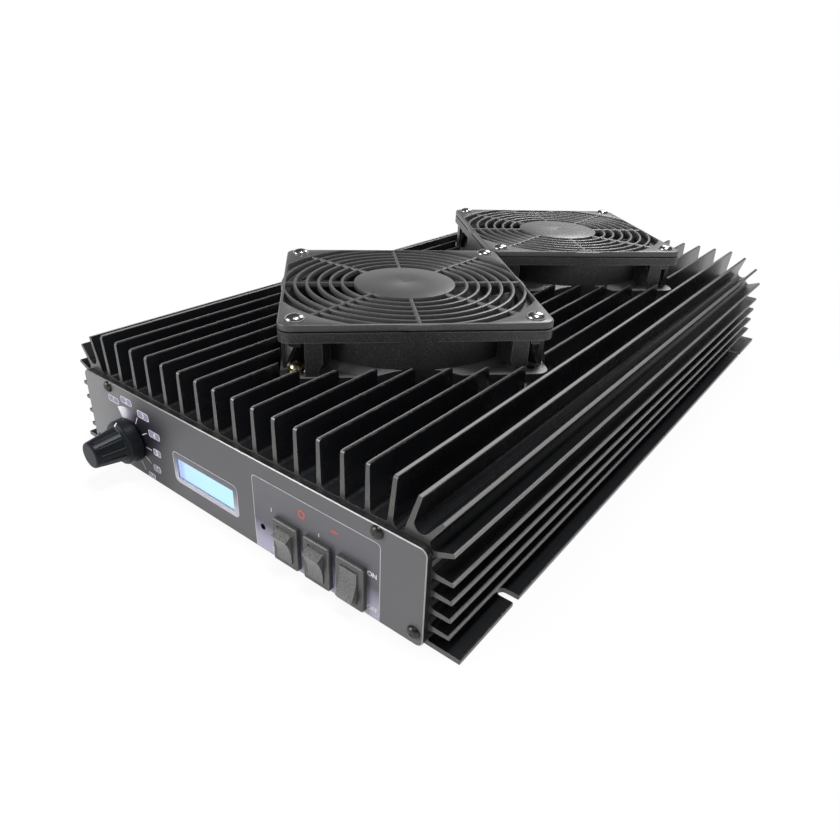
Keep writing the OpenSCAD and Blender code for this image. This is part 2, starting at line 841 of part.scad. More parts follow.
module rocker_shape() {
    difference() {
        union() {
            rotate([90, 0, 90]) linear_extrude(rocker_w, center = true) polygon([
                [-tip_reach, tip_half], [0, end_half], [rocker_rear, rocker_rear_h],
                [rocker_rear, -rocker_rear_h], [0, -end_half], [-tip_reach, -tip_half]
            ]);
            rotate([0, 90, 0])
                cylinder(r = trunnion_r, h = rocker_w + 2 * trunnion_l, center = true);
        }
        // hollow for the finger
        translate([0, -(tip_reach + dip_r - rocker_dip), 0])
            rotate([0, 90, 0]) cylinder(r = dip_r, h = rocker_w + 2 * cut, center = true, $fn = 96);
    }
}

// A rocker at rest, with its top out (1) or pressed in (-1)
module rocker(i, top_out) {
    color("#151617") placed()
        translate([switch_x + i * switch_pitch, pivot_y, switch_z])
            rotate([top_out * rocker_tip, 0, 0]) rocker_shape();
}

module left_switch_housing() { switch_housing(0); }
module middle_switch_housing() { switch_housing(1); }
module right_switch_housing() { switch_housing(2); }
module left_rocker() { rocker(0, 1); }
module middle_rocker() { rocker(1, 1); }
module right_rocker() { rocker(2, -1); }

// ---------------------------------------------------------------- boards inside

power_holes = [
    for (x = [-1, 1], y = [0, 1])
        [x * (power_w / 2 - board_hole_in), power_y + board_hole_in + y * (power_l - 2 * board_hole_in)]
];
filter_holes = [
    for (x = [-1, 1], y = [0, 1])
        [x * (filter_w / 2 - board_hole_in), filter_y + board_hole_in + y * (filter_l - 2 * board_hole_in)]
];
board_holes = concat(power_holes, filter_holes);

transistor_pitch = 26;
transistor_y = power_y + 0.4 * power_l;
transistor_w = 12;
transistor_l = 24;
transistor_hole_in = 3;
transistor_flange_t = 1.6;
transistor_t = 5;
window_gap = 0.5;
transistor_x = [for (i = [-1.5:1:1.5]) i * transistor_pitch];
transistor_holes = [
    for (x = transistor_x, s = [-1, 1])
        [x, transistor_y + s * (transistor_l / 2 - transistor_hole_in)]
];

module power_board() {
    color("#23603f") placed() difference() {
        translate([-power_w / 2, power_y, board_top - board_t]) cube([power_w, power_l, board_t]);
        for (p = power_holes)
            translate([p.x, p.y, board_top - 2 * board_t]) cylinder(r = m3_pass_r, h = 4 * board_t);
        for (x = transistor_x)
            translate([x, transistor_y, board_top])
                cube([
                    transistor_w + 2 * window_gap, transistor_l + 2 * window_gap, 4 * board_t
                ], center = true);
    }
}

module filter_board() {
    color("#23603f") placed() difference() {
        translate([-filter_w / 2, filter_y, board_top - board_t]) cube([filter_w, filter_l, board_t]);
        for (p = filter_holes)
            translate([p.x, p.y, board_top - 2 * board_t]) cylinder(r = m3_pass_r, h = 4 * board_t);
    }
}

module board_spacers() {
    color("#c9ab5e") placed()
        for (p = board_holes)
            translate([p.x, p.y, board_top]) difference() {
                cylinder(r = 3, h = spacer_h);
                translate([0, 0, -cut]) cylinder(r = m3_pass_r, h = spacer_h + 2 * cut);
            }
}

module board_screws() {
    color("#9a9ca0") placed()
        for (p = board_holes)
            translate([p.x, p.y, board_top - board_t])
                rotate([half_turn, 0, 0])
                    pan_screw(m3_tap_r, board_t + spacer_h + 2.5, m3_head_r, m3_head_h);
}

module rf_transistors() {
    package_l = transistor_l - 4 * transistor_hole_in;
    color("#3b3c40") placed()
        for (x = transistor_x)
            translate([x, transistor_y, ceiling - transistor_t]) difference() {
                union() {
                    translate([-transistor_w / 2, -transistor_l / 2, transistor_t - transistor_flange_t])
                        cube([transistor_w, transistor_l, transistor_flange_t]);
                    translate([-transistor_w / 2, -package_l / 2, 0])
                        cube([transistor_w, package_l, transistor_t]);
                }
                for (s = [-1, 1])
                    translate([0, s * (transistor_l / 2 - transistor_hole_in), -cut])
                        cylinder(r = m3_pass_r, h = transistor_t + 2 * cut);
            }
}

module transistor_screws() {
    color("#9a9ca0") placed()
        for (p = transistor_holes)
            translate([p.x, p.y, ceiling - transistor_flange_t])
                rotate([half_turn, 0, 0])
                    pan_screw(m3_tap_r, transistor_flange_t + 2.5, m3_head_r, m3_head_h);
}

component_top = board_top - board_t;
input_core = [16, 22, 12];
input_tube_r = 3;
output_core = [44, 46, 22];
output_tube_r = 8;

// A ferrite block with two brass tubes through it, seen from below the board
module ferrite_transformer(core, tube_r) {
    tube_wall = 1;
    collar = 1;
    translate([0, 0, -core.z / 2]) difference() {
        union() {
            cube(core, center = true);
            for (x = [-1, 1])
                translate([x * core.x / 4, -core.y / 2 - collar, 0])
                    facing_rear() cylinder(r = tube_r, h = core.y + 2 * collar);
        }
        for (x = [-1, 1])
            translate([x * core.x / 4, -core.y, 0])
                facing_rear() cylinder(r = tube_r - tube_wall, h = 2 * core.y);
    }
}

module input_transformer() {
    color("#45464a") placed()
        translate([0, power_y + 0.17 * power_l, component_top])
            ferrite_transformer(input_core, input_tube_r);
}

module output_transformer() {
    color("#45464a") placed()
        translate([0, power_y + 0.72 * power_l, component_top])
            ferrite_transformer(output_core, output_tube_r);
}

capacitor_r = 8;
capacitor_h = 25;
capacitor_between = 6;
capacitor_in = 15;

module supply_capacitors() {
    color("#232a4a") placed()
        for (side = [-1, 1], i = [0, 1])
            translate([
                side * (power_w / 2 - capacitor_in - i * (2 * capacitor_r + capacitor_between)),
                power_y + 0.81 * power_l,
                component_top - capacitor_h
            ]) {
                cylinder(r = capacitor_r, h = capacitor_h);
                translate([0, 0, -0.3]) cylinder(r = capacitor_r - 0.8, h = 0.6);
            }
}

// A ring core lying flat, with its turns of wire standing proud of it all round
module toroid(ring_r, half_w, h, turns) {
    difference() {
        cylinder(r = ring_r + half_w, h = h);
        translate([0, 0, -cut]) cylinder(r = ring_r - half_w, h = h + 2 * cut);
    }
    for (i = [0:turns - 1])
        rotate([0, 0, i * 310 / turns])
            translate([ring_r - half_w - wire / 2, -wire / 2, -wire / 2])
                cube([2 * half_w + wire, wire, h + wire]);
}

wire = 0.8;
choke_r = 10;
choke_half_w = 4.5;
choke_h = 9;
choke_in = 23;
coil_r = 5.8;
coil_half_w = 2.4;
coil_h = 5;
coil_columns = 6;
coil_pitch = (filter_w - 40) / (coil_columns - 1);
coil_rows = 22;
coil_x = [for (i = [0:coil_columns - 1]) (i - (coil_columns - 1) / 2) * coil_pitch];
relay = [15, 10, 12];
relay_in = 2;

module supply_choke() {
    color("#c98f3a") placed()
        translate([choke_in - power_w / 2, power_y + 0.23 * power_l, component_top - choke_h - wire / 2])
            toroid(choke_r, choke_half_w, choke_h, 12);
}

module filter_coils() {
    color("#c8a23c") placed()
        for (x = coil_x, y = [0, 1])
            translate([
                x,
                filter_y + (filter_l - coil_rows) / 2 + y * coil_rows,
                component_top - coil_h - wire / 2
            ])
                toroid(coil_r, coil_half_w, coil_h, 8);
}

module filter_relays() {
    color("#e4e4de") placed()
        for (x = coil_x, y = [0, 1])
            translate([
                x - relay.x / 2,
                filter_y + relay_in + y * (filter_l - 2 * relay_in - relay.y),
                component_top - relay.z
            ])
                cube(relay);
}

// ---------------------------------------------------------------- rear sockets

socket_flange_t = 1.6;
socket_mouth_r = 6.4;
socket_mouth = 9;
socket_contact_r = 2.05;
socket_contact = 4;

module rf_socket(x) {
    color("#c8c9cc") placed() translate([x, body_l + rear_t, socket_z]) facing_rear() difference() {
        union() {
            translate([-socket_flange / 2, -socket_flange / 2, 0])
                cube([socket_flange, socket_flange, socket_flange_t]);
            cylinder(r = socket_r, h = socket_l);
            translate([0, 0, -rear_t - 7]) cylinder(r = 6.5, h = rear_t + 7 + touch);
            translate([0, 0, -rear_t - 13]) cylinder(r = 2, h = 7);
        }
        translate([0, 0, socket_l - socket_mouth]) cylinder(r = socket_mouth_r, h = socket_mouth + cut);
        translate([0, 0, socket_l - socket_mouth - socket_contact])
            cylinder(r = socket_contact_r, h = socket_contact + cut);
        for (i = [-1, 1], j = [-1, 1])
            translate([i * socket_pitch / 2, j * socket_pitch / 2, -cut])
                cylinder(r = m3_pass_r, h = socket_flange_t + 2 * cut);
    }
}

module rf_input_socket() { rf_socket(-socket_x); }
module rf_output_socket() { rf_socket(socket_x); }

module socket_screws() {
    color("#9a9ca0") placed()
        for (p = socket_holes)
            translate([p.x, body_l + rear_t + socket_flange_t, p.y])
                facing_rear() pan_screw(m3_r, rear_t + socket_flange_t + 3, 2.6, 1.8);
}

module keying_jack() {
    color("#c9b25a") placed() translate([jack_x, body_l, jack_z]) facing_rear() difference() {
        union() {
            translate([0, 0, -8]) cylinder(r = jack_thread_r, h = 8 + rear_t + jack_collar);
            translate([0, 0, -2]) cylinder(r = 6.4, h = 2);
            translate([0, 0, rear_t + jack_collar - touch])
                cylinder(r = jack_shell_r, h = jack_shell_l + touch);
        }
        translate([0, 0, rear_t + jack_collar + 0.5]) difference() {
            cylinder(r = jack_shell_r - 0.7, h = jack_shell_l);
            cylinder(r = 2.6, h = jack_shell_l);
        }
        translate([0, 0, rear_t]) cylinder(r = 1.6, h = jack_collar + jack_shell_l + cut);
    }
}

module keying_jack_nut() {
    color("#b8bbc0") placed() translate([jack_x, body_l + rear_t, jack_z])
        facing_rear() hex_nut(7.2, jack_thread_r, 2);
}

module power_lead_grommet() {
    color("#141416") placed() translate([grommet_x, body_l, grommet_z]) facing_rear() rotate_extrude()
        polygon([
            [grommet_bore, -2.2], [grommet_r + 1.2, -2.2], [grommet_r + 1.8, -1.4],
            [grommet_r + 1.8, 0], [grommet_r, 0], [grommet_r, rear_t], [grommet_r + 1.8, rear_t],
            [grommet_r + 1.8, rear_t + 1.4], [grommet_r + 1.2, rear_t + 2.2],
            [grommet_bore, rear_t + 2.2]
        ]);
}

wing_gap = 2;
stud_l = 11;

module ground_terminal() {
    color("#b8bbc0") placed() translate([ground_x, body_l, ground_z]) facing_rear() {
        translate([0, 0, -m4_washer_t - m4_nut_t])
            cylinder(r = m4_nut_r, h = m4_nut_t, $fn = nut_points);
        translate([0, 0, -m4_washer_t - touch]) cylinder(r = m4_r, h = m4_washer_t + rear_t + stud_l);
    }
}

module ground_nuts() {
    color("#c9b25a") placed() translate([ground_x, body_l + rear_t, ground_z]) facing_rear() {
        translate([0, 0, -rear_t - m4_washer_t]) washer(m4_washer_r, m4_r, m4_washer_t);
        washer(m4_washer_r, m4_r, m4_washer_t);
        translate([0, 0, m4_washer_t]) hex_nut(m4_nut_r, m4_r, m4_nut_t);
        translate([0, 0, wing_gap + m4_nut_t]) hex_nut(m4_nut_r, m4_r, m4_nut_t);
    }
}

// ---------------------------------------------------------------- fans

module at_fan(y, z) {
    placed() translate([0, y, z]) rotate([0, 0, 45]) children();
}

module at_fan_holes() {
    for (x = [-1, 1], y = [-1, 1]) translate([x * fan_hole, y * fan_hole, 0]) children();
}

// Ribs in one corner of the frame: two sloping gussets and two upright webs
module fan_corner() {
    web_in = fan_side / 2 - 18.7;
    web_out = fan_side / 2 - 11.1;
    web_t = 2;
    gusset_t = 1.6;
    gusset_gap = 6.5;
    side = fan_side / 2;
    for (m = [0, 1])
        mirror([m, -m, 0]) {
            translate([web_in, side - web_t - 1, 0]) rotate([90, 0, 0]) mirror([0, 0, 1])
                linear_extrude(web_t) polygon([
                    [1.8, 0], [web_out - web_in, 0], [web_out - web_in, fan_h - touch],
                    [0, fan_h - touch], [0, fan_h * 0.42], [1.8, fan_h * 0.3]
                ]);
            rotate([0, 0, 45]) translate([duct_r + 1, gusset_gap, 0])
                rotate([90, 0, 0]) linear_extrude(gusset_t) polygon([
                    [0, touch], [side * sqrt(2) - duct_r - gusset_gap - 4.5, touch],
                    [side * sqrt(2) - duct_r - gusset_gap - 4.5, fan_flange_t + 1.4],
                    [2.4, fan_h - touch], [0, fan_h - touch]
                ]);
        }
}

module fan_frame(y) {
    side = fan_side / 2;
    color("#34353a") at_fan(y, fan_seat) difference() {
        union() {
            // the two square flanges
            for (z = [0, fan_h - fan_flange_t])
                translate([0, 0, z])
                    linear_extrude(fan_flange_t) rounded_rect(fan_side, fan_side, fan_r);
            // the round shroud, flattened where it meets the sides
            intersection() {
                union() {
                    cylinder(r = shroud_r, h = fan_h, $fn = 96);
                    translate([0, 0, fan_flange_t - touch])
                        cylinder(r1 = shroud_r + 2.6, r2 = shroud_r, h = 3, $fn = 96);
                }
                translate([-side, -side, 0]) cube([fan_side, fan_side, fan_h]);
            }
            for (a = [0:90:270]) rotate([0, 0, a]) fan_corner();
        }
        difference() {
            union() {
                translate([0, 0, -cut]) cylinder(r = duct_r, h = fan_h + 2 * cut, $fn = 96);
                translate([0, 0, fan_h - 3]) cylinder(r1 = duct_r, r2 = side - 0.6, h = 3 + touch, $fn = 96);
            }
            // motor base, its four arms and the bearing tube stay
            translate([0, 0, -2 * cut]) cylinder(r = hub_r + 0.5, h = fan_base_t + 2 * cut);
            for (a = [22.5:90:337.5])
                rotate([0, 0, a]) translate([0, -2.4, -2 * cut])
                    cube([side + 2, 4.8, fan_base_t + 2 * cut]);
            cylinder(r = fan_bearing_r, h = fan_h - 8);
        }
        translate([0, 0, fan_base_t - 1]) cylinder(r = axle_r + running, h = fan_h);
        at_fan_holes() translate([0, 0, -cut]) cylinder(r = m4_pass_r, h = fan_h + 2 * cut);
    }
}

module front_fan_frame() { fan_frame(fan_1_y); }
module rear_fan_frame() { fan_frame(fan_2_y); }

hub_wall = 2;
shoe_r = hub_r - hub_wall - 0.6;

// Laminated core with four wound poles round the bearing tube
module fan_stator(y) {
    color("#8a5a34") at_fan(y, fan_seat + fan_base_t) difference() {
        union() {
            cylinder(r = 7, h = 11);
            for (a = [0:90:270])
                rotate([0, 0, a]) {
                    // the wound arm of a pole and its curved shoe
                    translate([5, -3.5, 1.5]) cube([shoe_r - 6, 7, 8]);
                    intersection() {
                        translate([hub_r - 10, -9, 2.5]) cube([10, 18, 6]);
                        difference() {
                            cylinder(r = shoe_r, h = 20);
                            cylinder(r = shoe_r - 2.5, h = 20);
                        }
                    }
                }
        }
        translate([0, 0, -cut]) cylinder(r = fan_bearing_r, h = 20);
    }
}

module front_fan_stator() { fan_stator(fan_1_y); }
module rear_fan_stator() { fan_stator(fan_2_y); }

blade_r = duct_r - blade_gap;
blade_z0 = 4;
blade_h = fan_h - 7;
blade_twist = 40;
blade_w = 2.8;
blade_steps = 6;

// Middle line of a blade's foot: it bows forward as it runs outward
function blade_line(k) =
    let (r = hub_r - 1 + k * (blade_r - hub_r + 1) / blade_steps, a = 14 * pow(k / blade_steps, 2))
        [r * cos(a), r * sin(a)];

module blade() {
    linear_extrude(blade_h, twist = -blade_twist, slices = 6)
        polygon(concat(
            [for (k = [0:blade_steps]) blade_line(k) + [0, blade_w / 2]],
            [for (k = [blade_steps:-1:0]) blade_line(k) - [0, blade_w / 2]]
        ));
}

module fan_rotor(y) {
    color("#1c1d20") at_fan(y, fan_seat) {
        difference() {
            union() {
                translate([0, 0, blade_z0 - 0.6]) cylinder(r = hub_r, h = fan_h - blade_z0 - 1.4);
                translate([0, 0, fan_h - 2 - touch]) cylinder(r1 = hub_r, r2 = hub_r - 1, h = 0.8);
            }
            translate([0, 0, -cut]) cylinder(r = hub_r - hub_wall, h = fan_h - 3.5 + cut);
        }
        translate([0, 0, fan_base_t]) cylinder(r = axle_r, h = fan_h - 3 - fan_base_t);
        intersection() {
            cylinder(r = blade_r, h = fan_h);
            for (i = [0:blades - 1])
                rotate([0, 0, i * 360 / blades]) translate([0, 0, blade_z0]) blade();
        }
    }
}

module front_fan_rotor() { fan_rotor(fan_1_y); }
module rear_fan_rotor() { fan_rotor(fan_2_y); }

module ring(r, w, t) {
    difference() {
        cylinder(r = r + w / 2, h = t, $fn = 96);
        translate([0, 0, -cut]) cylinder(r = r - w / 2, h = t + 2 * cut, $fn = 96);
    }
}

module fan_guard(y) {
    rail = 1.4;
    open_side = fan_side - 2 * rail;
    rib_z = guard_t - guard_rib_t - 0.3;
    ring_step = (guard_ring_r - guard_disc_r) / guard_rings;
    color("#4b4b4f") at_fan(y, guard_seat) difference() {
        union() {
            difference() {
                bevelled_plate(fan_side, fan_side, guard_t, fan_r, 0.8, 0.5);
                intersection() {
                    translate([0, 0, -cut]) cylinder(r = guard_open_r, h = guard_t + 2 * cut, $fn = 96);
                    translate([-open_side / 2, -open_side / 2, -cut])
                        cube([open_side, open_side, guard_t + 2 * cut]);
                }
            }
            intersection() {
                translate([0, 0, rib_z]) union() {
                    cylinder(r = guard_disc_r, h = guard_rib_t, $fn = 96);
                    for (i = [1:guard_rings])
                        ring(guard_disc_r + i * ring_step, guard_ring_w, guard_rib_t);
                    for (a = [0:45:315])
                        rotate([0, 0, a]) translate([0, -guard_spoke_w / 2, 0])
                            cube([guard_open_r + 2, guard_spoke_w, guard_rib_t]);
                }
                translate([-fan_side / 2 + 0.2, -fan_side / 2 + 0.2, 0])
                    cube([fan_side - 0.4, fan_side - 0.4, guard_t]);
            }
        }
        at_fan_holes() translate([0, 0, -cut]) cylinder(r = m4_pass_r, h = guard_t + 2 * cut);
    }
}

module front_fan_guard() { fan_guard(fan_1_y); }
module rear_fan_guard() { fan_guard(fan_2_y); }

module fan_guard_screws() {
    color("#d9dadc")
        for (y = fan_places)
            at_fan(y, guard_top) at_fan_holes()
                pan_screw(m4_r, guard_t + fan_flange_t + 4.2, guard_head_r, guard_head_h);
}

module fan_guard_nuts() {
    color("#c2c3c6")
        for (y = fan_places)
            at_fan(y, fan_top - fan_flange_t - m4_nut_t) at_fan_holes() hex_nut(m4_nut_r, m4_r, m4_nut_t);
}

fan_screw_seat = fan_seat + fan_flange_t;

module fan_mount_screws() {
    color("#cfc9b4") placed()
        for (y = fan_screw_y)
            translate([0, y, fan_screw_seat]) {
                washer(4.2, m4_tap_r, 0.8);
                translate([0, 0, 0.8]) washer(3.6, m4_tap_r, 1);
                translate([0, 0, 1.8]) pan_screw(m4_tap_r, 1.8 + fan_flange_t + fan_lift + 3, 3.5, 2.6);
            }
}

module fan_spacers() {
    color("#b9bbbf") placed()
        for (y = fan_screw_y)
            translate([0, y, pocket_floor]) washer(3.9, m4_pass_r, fan_seat - pocket_floor);
}

heatsink();
bottom_cover();
bottom_cover_screws();
front_panel();
front_panel_screws();
rear_panel();
rear_panel_screws();
lcd_window();
lcd_glass();
lcd_module();
control_board();
control_board_spacers();
set_switch();
set_button();
band_switch();
band_switch_nut();
band_switch_shaft();
band_knob();
knob_grub_screw();
left_switch_housing();
middle_switch_housing();
right_switch_housing();
left_rocker();
middle_rocker();
right_rocker();
power_board();
filter_board();
board_spacers();
board_screws();
rf_transistors();
transistor_screws();
input_transformer();
output_transformer();
supply_capacitors();
supply_choke();
filter_coils();
filter_relays();
rf_input_socket();
rf_output_socket();
socket_screws();
keying_jack();
keying_jack_nut();
power_lead_grommet();
ground_terminal();
ground_nuts();
front_fan_frame();
rear_fan_frame();
front_fan_stator();
rear_fan_stator();
front_fan_rotor();
rear_fan_rotor();
front_fan_guard();
rear_fan_guard();
fan_guard_screws();
fan_guard_nuts();
fan_mount_screws();
fan_spacers();
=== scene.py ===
# %% [markdown]
# # HF linear amplifier, dressed for the camera
#
# A radio amateur's power amplifier: one long finned aluminium extrusion with two fans set
# diagonally into its fins, and a printed front panel with a knob, a display and three
# rocker switches. The solids come from the CAD model and stay where they are. This lesson
# gives them their finishes, adds the printing and the moulded detail, and lights them.

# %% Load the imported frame
import math

import bmesh
import bpy
from mathutils import Matrix, Quaternion, Vector


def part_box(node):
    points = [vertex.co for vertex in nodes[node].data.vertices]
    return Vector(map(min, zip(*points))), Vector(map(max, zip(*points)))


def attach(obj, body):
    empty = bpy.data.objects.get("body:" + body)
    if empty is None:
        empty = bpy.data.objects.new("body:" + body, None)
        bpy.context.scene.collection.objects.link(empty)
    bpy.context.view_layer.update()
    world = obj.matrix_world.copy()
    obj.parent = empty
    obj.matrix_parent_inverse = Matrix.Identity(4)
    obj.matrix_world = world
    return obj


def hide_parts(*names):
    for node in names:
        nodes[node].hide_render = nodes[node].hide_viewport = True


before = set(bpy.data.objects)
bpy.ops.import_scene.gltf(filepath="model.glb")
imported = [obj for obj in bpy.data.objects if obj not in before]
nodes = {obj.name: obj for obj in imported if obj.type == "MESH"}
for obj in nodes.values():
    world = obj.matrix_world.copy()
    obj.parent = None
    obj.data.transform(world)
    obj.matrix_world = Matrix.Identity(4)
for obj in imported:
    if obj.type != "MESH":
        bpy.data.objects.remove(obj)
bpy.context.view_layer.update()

MM = 0.001

# %% [markdown]
# ## Camera
#
# The photograph was taken from the front right, about 27 degrees above the case. The place,
# the turn and the lens were solved from points measured on the photograph. A small lens
# shift puts the object where the photograph has it.

# %% Camera
AZIMUTH, ELEVATION, ROLL = (math.radians(a) for a in (36.53, 27.05, 2.48))
CAMERA_PLACE = (0.19967, -0.33663, 0.18453)
SENSOR_WIDTH, FOCAL_LENGTH = 36, 28.64
SHIFT_X, SHIFT_Y = 0.0044, -0.0264
looking = Vector((
    -math.sin(AZIMUTH) * math.cos(ELEVATION),
    math.cos(AZIMUTH) * math.cos(ELEVATION),
    -math.sin(ELEVATION),
))
lens = bpy.data.cameras.new("camera")
lens.sensor_width = SENSOR_WIDTH
lens.lens = FOCAL_LENGTH
lens.shift_x = SHIFT_X
lens.shift_y = SHIFT_Y
camera = bpy.data.objects.new("camera", lens)
camera.rotation_mode = "QUATERNION"
camera.rotation_quaternion = looking.to_track_quat("-Z", "Y") @ Quaternion((0, 0, 1), ROLL)
camera.location = CAMERA_PLACE
bpy.context.scene.collection.objects.link(camera)
bpy.context.scene.camera = camera
bpy.context.view_layer.update()
print("camera's right-hand axis:", [round(v, 4) for v in camera.matrix_world.col[0][:3]])

# %% [markdown]
# ## Tools for the finishes
#
# Every finish is a small network of nodes round one Principled shader. The same few steps
# come back in all of them, so each gets a short function. The first ones add a node, and
# link or set a socket. They work on the world's nodes too, because a world keeps its nodes
# in the same way.

# %% Nodes and sockets
def new_finish(name, roughness=0.5, metallic=0.0, specular=0.5):
    finish = bpy.data.materials.new(name)
    finish.use_nodes = True
    shader = finish.node_tree.nodes["Principled BSDF"]
    shader.inputs["Roughness"].default_value = roughness
    shader.inputs["Metallic"].default_value = metallic
    shader.inputs["Specular IOR Level"].default_value = specular
    return finish


def add(finish, kind, **settings):
    node = finish.node_tree.nodes.new(kind)
    for key, value in settings.items():
        setattr(node, key, value)
    return node


def put(finish, value, socket):
    """Sets a socket to a number or a colour, or links another socket to it."""
    if isinstance(value, bpy.types.NodeSocket):
        finish.node_tree.links.new(value, socket)
    elif isinstance(value, (tuple, list)) and len(value) == 3 and len(socket.default_value) == 4:
        socket.default_value = (*value, 1.0)
    else:
        socket.default_value = value


def shader_input(finish, name, value):
    put(finish, value, finish.node_tree.nodes["Principled BSDF"].inputs[name])


def paint(finish, colour):
    shader_input(finish, "Base Color", colour)


print("node tools ready, from", new_finish.__name__, "to", paint.__name__)

# %% [markdown]
# Masks and colours are worked out by nodes that do sums. A product of masks is 1 only where
# all of them are, and a shader mix shows one of two shaders by a mask.

# %% Sums and mixes
def sums(finish, operation, a, b=0.0, c=0.0):
    node = add(finish, "ShaderNodeMath", operation=operation)
    for socket, value in zip(node.inputs, (a, b, c)):
        put(finish, value, socket)
    return node.outputs[0]


def product(finish, first, *others):
    for value in others:
        first = sums(finish, "MULTIPLY", first, value)
    return first


def choose(finish, mask, first, second):
    """Shows the first shader where the mask is 0 and the second where it is 1."""
    mix = add(finish, "ShaderNodeMixShader")
    for socket, value in zip(mix.inputs, (mask, first, second)):
        put(finish, value, socket)
    return mix.outputs[0]


print("sums ready, from", sums.__name__, "to", choose.__name__)

# %% [markdown]
# A real surface is never one even colour. Noise that can be stretched along one direction
# gives it grain, and a ramp turns the noise into colours. Object coordinates are used
# throughout, because they ride with the piece when it moves.

# %% Grain and colours
TONE_LOW, TONE_HIGH = 0.3, 0.7


def place(finish, stretch=(1, 1, 1)):
    """Object coordinates; a number under 1 stretches the pattern along that axis."""
    mapping = add(finish, "ShaderNodeMapping")
    mapping.inputs["Scale"].default_value = stretch
    put(finish, add(finish, "ShaderNodeTexCoord").outputs["Object"], mapping.inputs["Vector"])
    return mapping.outputs["Vector"]


def noise(finish, scale, stretch=(1, 1, 1), detail=3.0, roughness=0.6):
    texture = add(finish, "ShaderNodeTexNoise")
    texture.inputs["Scale"].default_value = scale
    texture.inputs["Detail"].default_value = detail
    texture.inputs["Roughness"].default_value = roughness
    put(finish, place(finish, stretch), texture.inputs["Vector"])
    return texture.outputs["Fac"]


def ramp(finish, value, *stops):
    """Colours along a value: each stop is (position, (r, g, b))."""
    node = add(finish, "ShaderNodeValToRGB")
    elements = node.color_ramp.elements
    while len(elements) > 1:
        elements.remove(elements[-1])
    elements[0].position = stops[0][0]
    elements[0].color = (*stops[0][1], 1)
    for position, colour in stops[1:]:
        elements.new(position).color = (*colour, 1)
    put(finish, value, node.inputs["Fac"])
    return node.outputs["Color"]


def tones(finish, value, dark, light, low=TONE_LOW, high=TONE_HIGH):
    """Two tones of one colour, mixed by the middle part of a noise."""
    return ramp(finish, value, (low, dark), (high, light))


def blend_colours(finish, mask, below, above):
    node = add(finish, "ShaderNodeMix", data_type="RGBA")
    put(finish, mask, node.inputs["Factor"])
    put(finish, below, node.inputs["A"])
    put(finish, above, node.inputs["B"])
    return node.outputs["Result"]


def uneven_gloss(finish, value, spread, least):
    """Roughness from least upwards, by a value that runs from 0 to 1."""
    shader_input(finish, "Roughness", sums(finish, "MULTIPLY_ADD", value, spread, least))


def bump(finish, height, depth, strength):
    """Raises the surface by a value; depth is in mm."""
    node = add(finish, "ShaderNodeBump")
    node.inputs["Distance"].default_value = depth * MM
    node.inputs["Strength"].default_value = strength
    put(finish, height, node.inputs["Height"])
    shader_input(finish, "Normal", node.outputs["Normal"])


print("noise tones mixed between", TONE_LOW, "and", TONE_HIGH)

# %% [markdown]
# Masks say where a colour goes. The first kind comes from a place in mm along an axis. Each
# mask fades smoothly, as paint and wear do.

# %% Masks by place
def smooth_step(finish, value, start, end):
    """0 at start, 1 at end and smooth between; start may be the higher number."""
    node = add(finish, "ShaderNodeMapRange", interpolation_type="SMOOTHSTEP")
    put(finish, value, node.inputs["Value"])
    node.inputs["From Min"].default_value = min(start, end)
    node.inputs["From Max"].default_value = max(start, end)
    if start < end:
        return node.outputs["Result"]
    return sums(finish, "SUBTRACT", 1.0, node.outputs["Result"])


def along(finish, axis):
    """The place along an axis, in metres."""
    split = add(finish, "ShaderNodeSeparateXYZ")
    put(finish, place(finish), split.inputs["Vector"])
    return split.outputs["XYZ".index(axis)]


def offset(finish, axis, middle):
    """The place along an axis, in metres from a middle that is given in mm."""
    return sums(finish, "SUBTRACT", along(finish, axis), middle * MM)


def span(finish, axis, start, end):
    """0 before start and 1 after end, in mm along an axis."""
    return smooth_step(finish, along(finish, axis), start * MM, end * MM)


def within(finish, axis, middle, half, soft):
    """1 in a band along an axis, in mm, with an edge that fades over twice soft."""
    away = sums(finish, "ABSOLUTE", offset(finish, axis, middle))
    return smooth_step(finish, away, (half + soft) * MM, (half - soft) * MM)


def distance(finish, a, b):
    return sums(finish, "SQRT", sums(finish, "MULTIPLY_ADD", a, a, product(finish, b, b)))


print("masks by place, from", along.__name__, "to", distance.__name__)

# %% [markdown]
# The second kind comes from the way a face points, or from an edge. The bevel node rounds
# the normals near an edge, so a normal that leaves the face's own one marks it.

# %% Masks by facing and by edge
EDGE_FROM, EDGE_FULL = 0.995, 0.93


def faces(finish, axis, start, end):
    """Fades in as a face turns along an axis: 1 faces along it and -1 against it."""
    split = add(finish, "ShaderNodeSeparateXYZ")
    put(finish, add(finish, "ShaderNodeTexCoord").outputs["Normal"], split.inputs["Vector"])
    return smooth_step(finish, split.outputs["XYZ".index(axis)], start, end)


# Marks edges that are worn and are also painted lighter as a painted highlight.
def edge_wear(finish, radius, amount=1.0):
    """1 along sharp edges, within a radius in mm."""
    bevel = add(finish, "ShaderNodeBevel", samples=4)
    bevel.inputs["Radius"].default_value = radius * MM
    geometry = add(finish, "ShaderNodeNewGeometry")
    dot = add(finish, "ShaderNodeVectorMath", operation="DOT_PRODUCT")
    put(finish, bevel.outputs["Normal"], dot.inputs[0])
    put(finish, geometry.outputs["Normal"], dot.inputs[1])
    return product(finish, smooth_step(finish, dot.outputs["Value"], EDGE_FROM, EDGE_FULL), amount)


print("edges wear from", round(math.degrees(math.acos(EDGE_FROM)), 1), "degrees")

# %% [markdown]
# ## Backdrop
#
# The photograph is a studio shot on pure white. One world could serve every ray, but then
# the white would also light the black case too much. So the rays are told apart: the soft
# light is weak, the camera sees white, and mirrors see white at the horizon and a darker
# studio overhead, which the bright screw heads show.

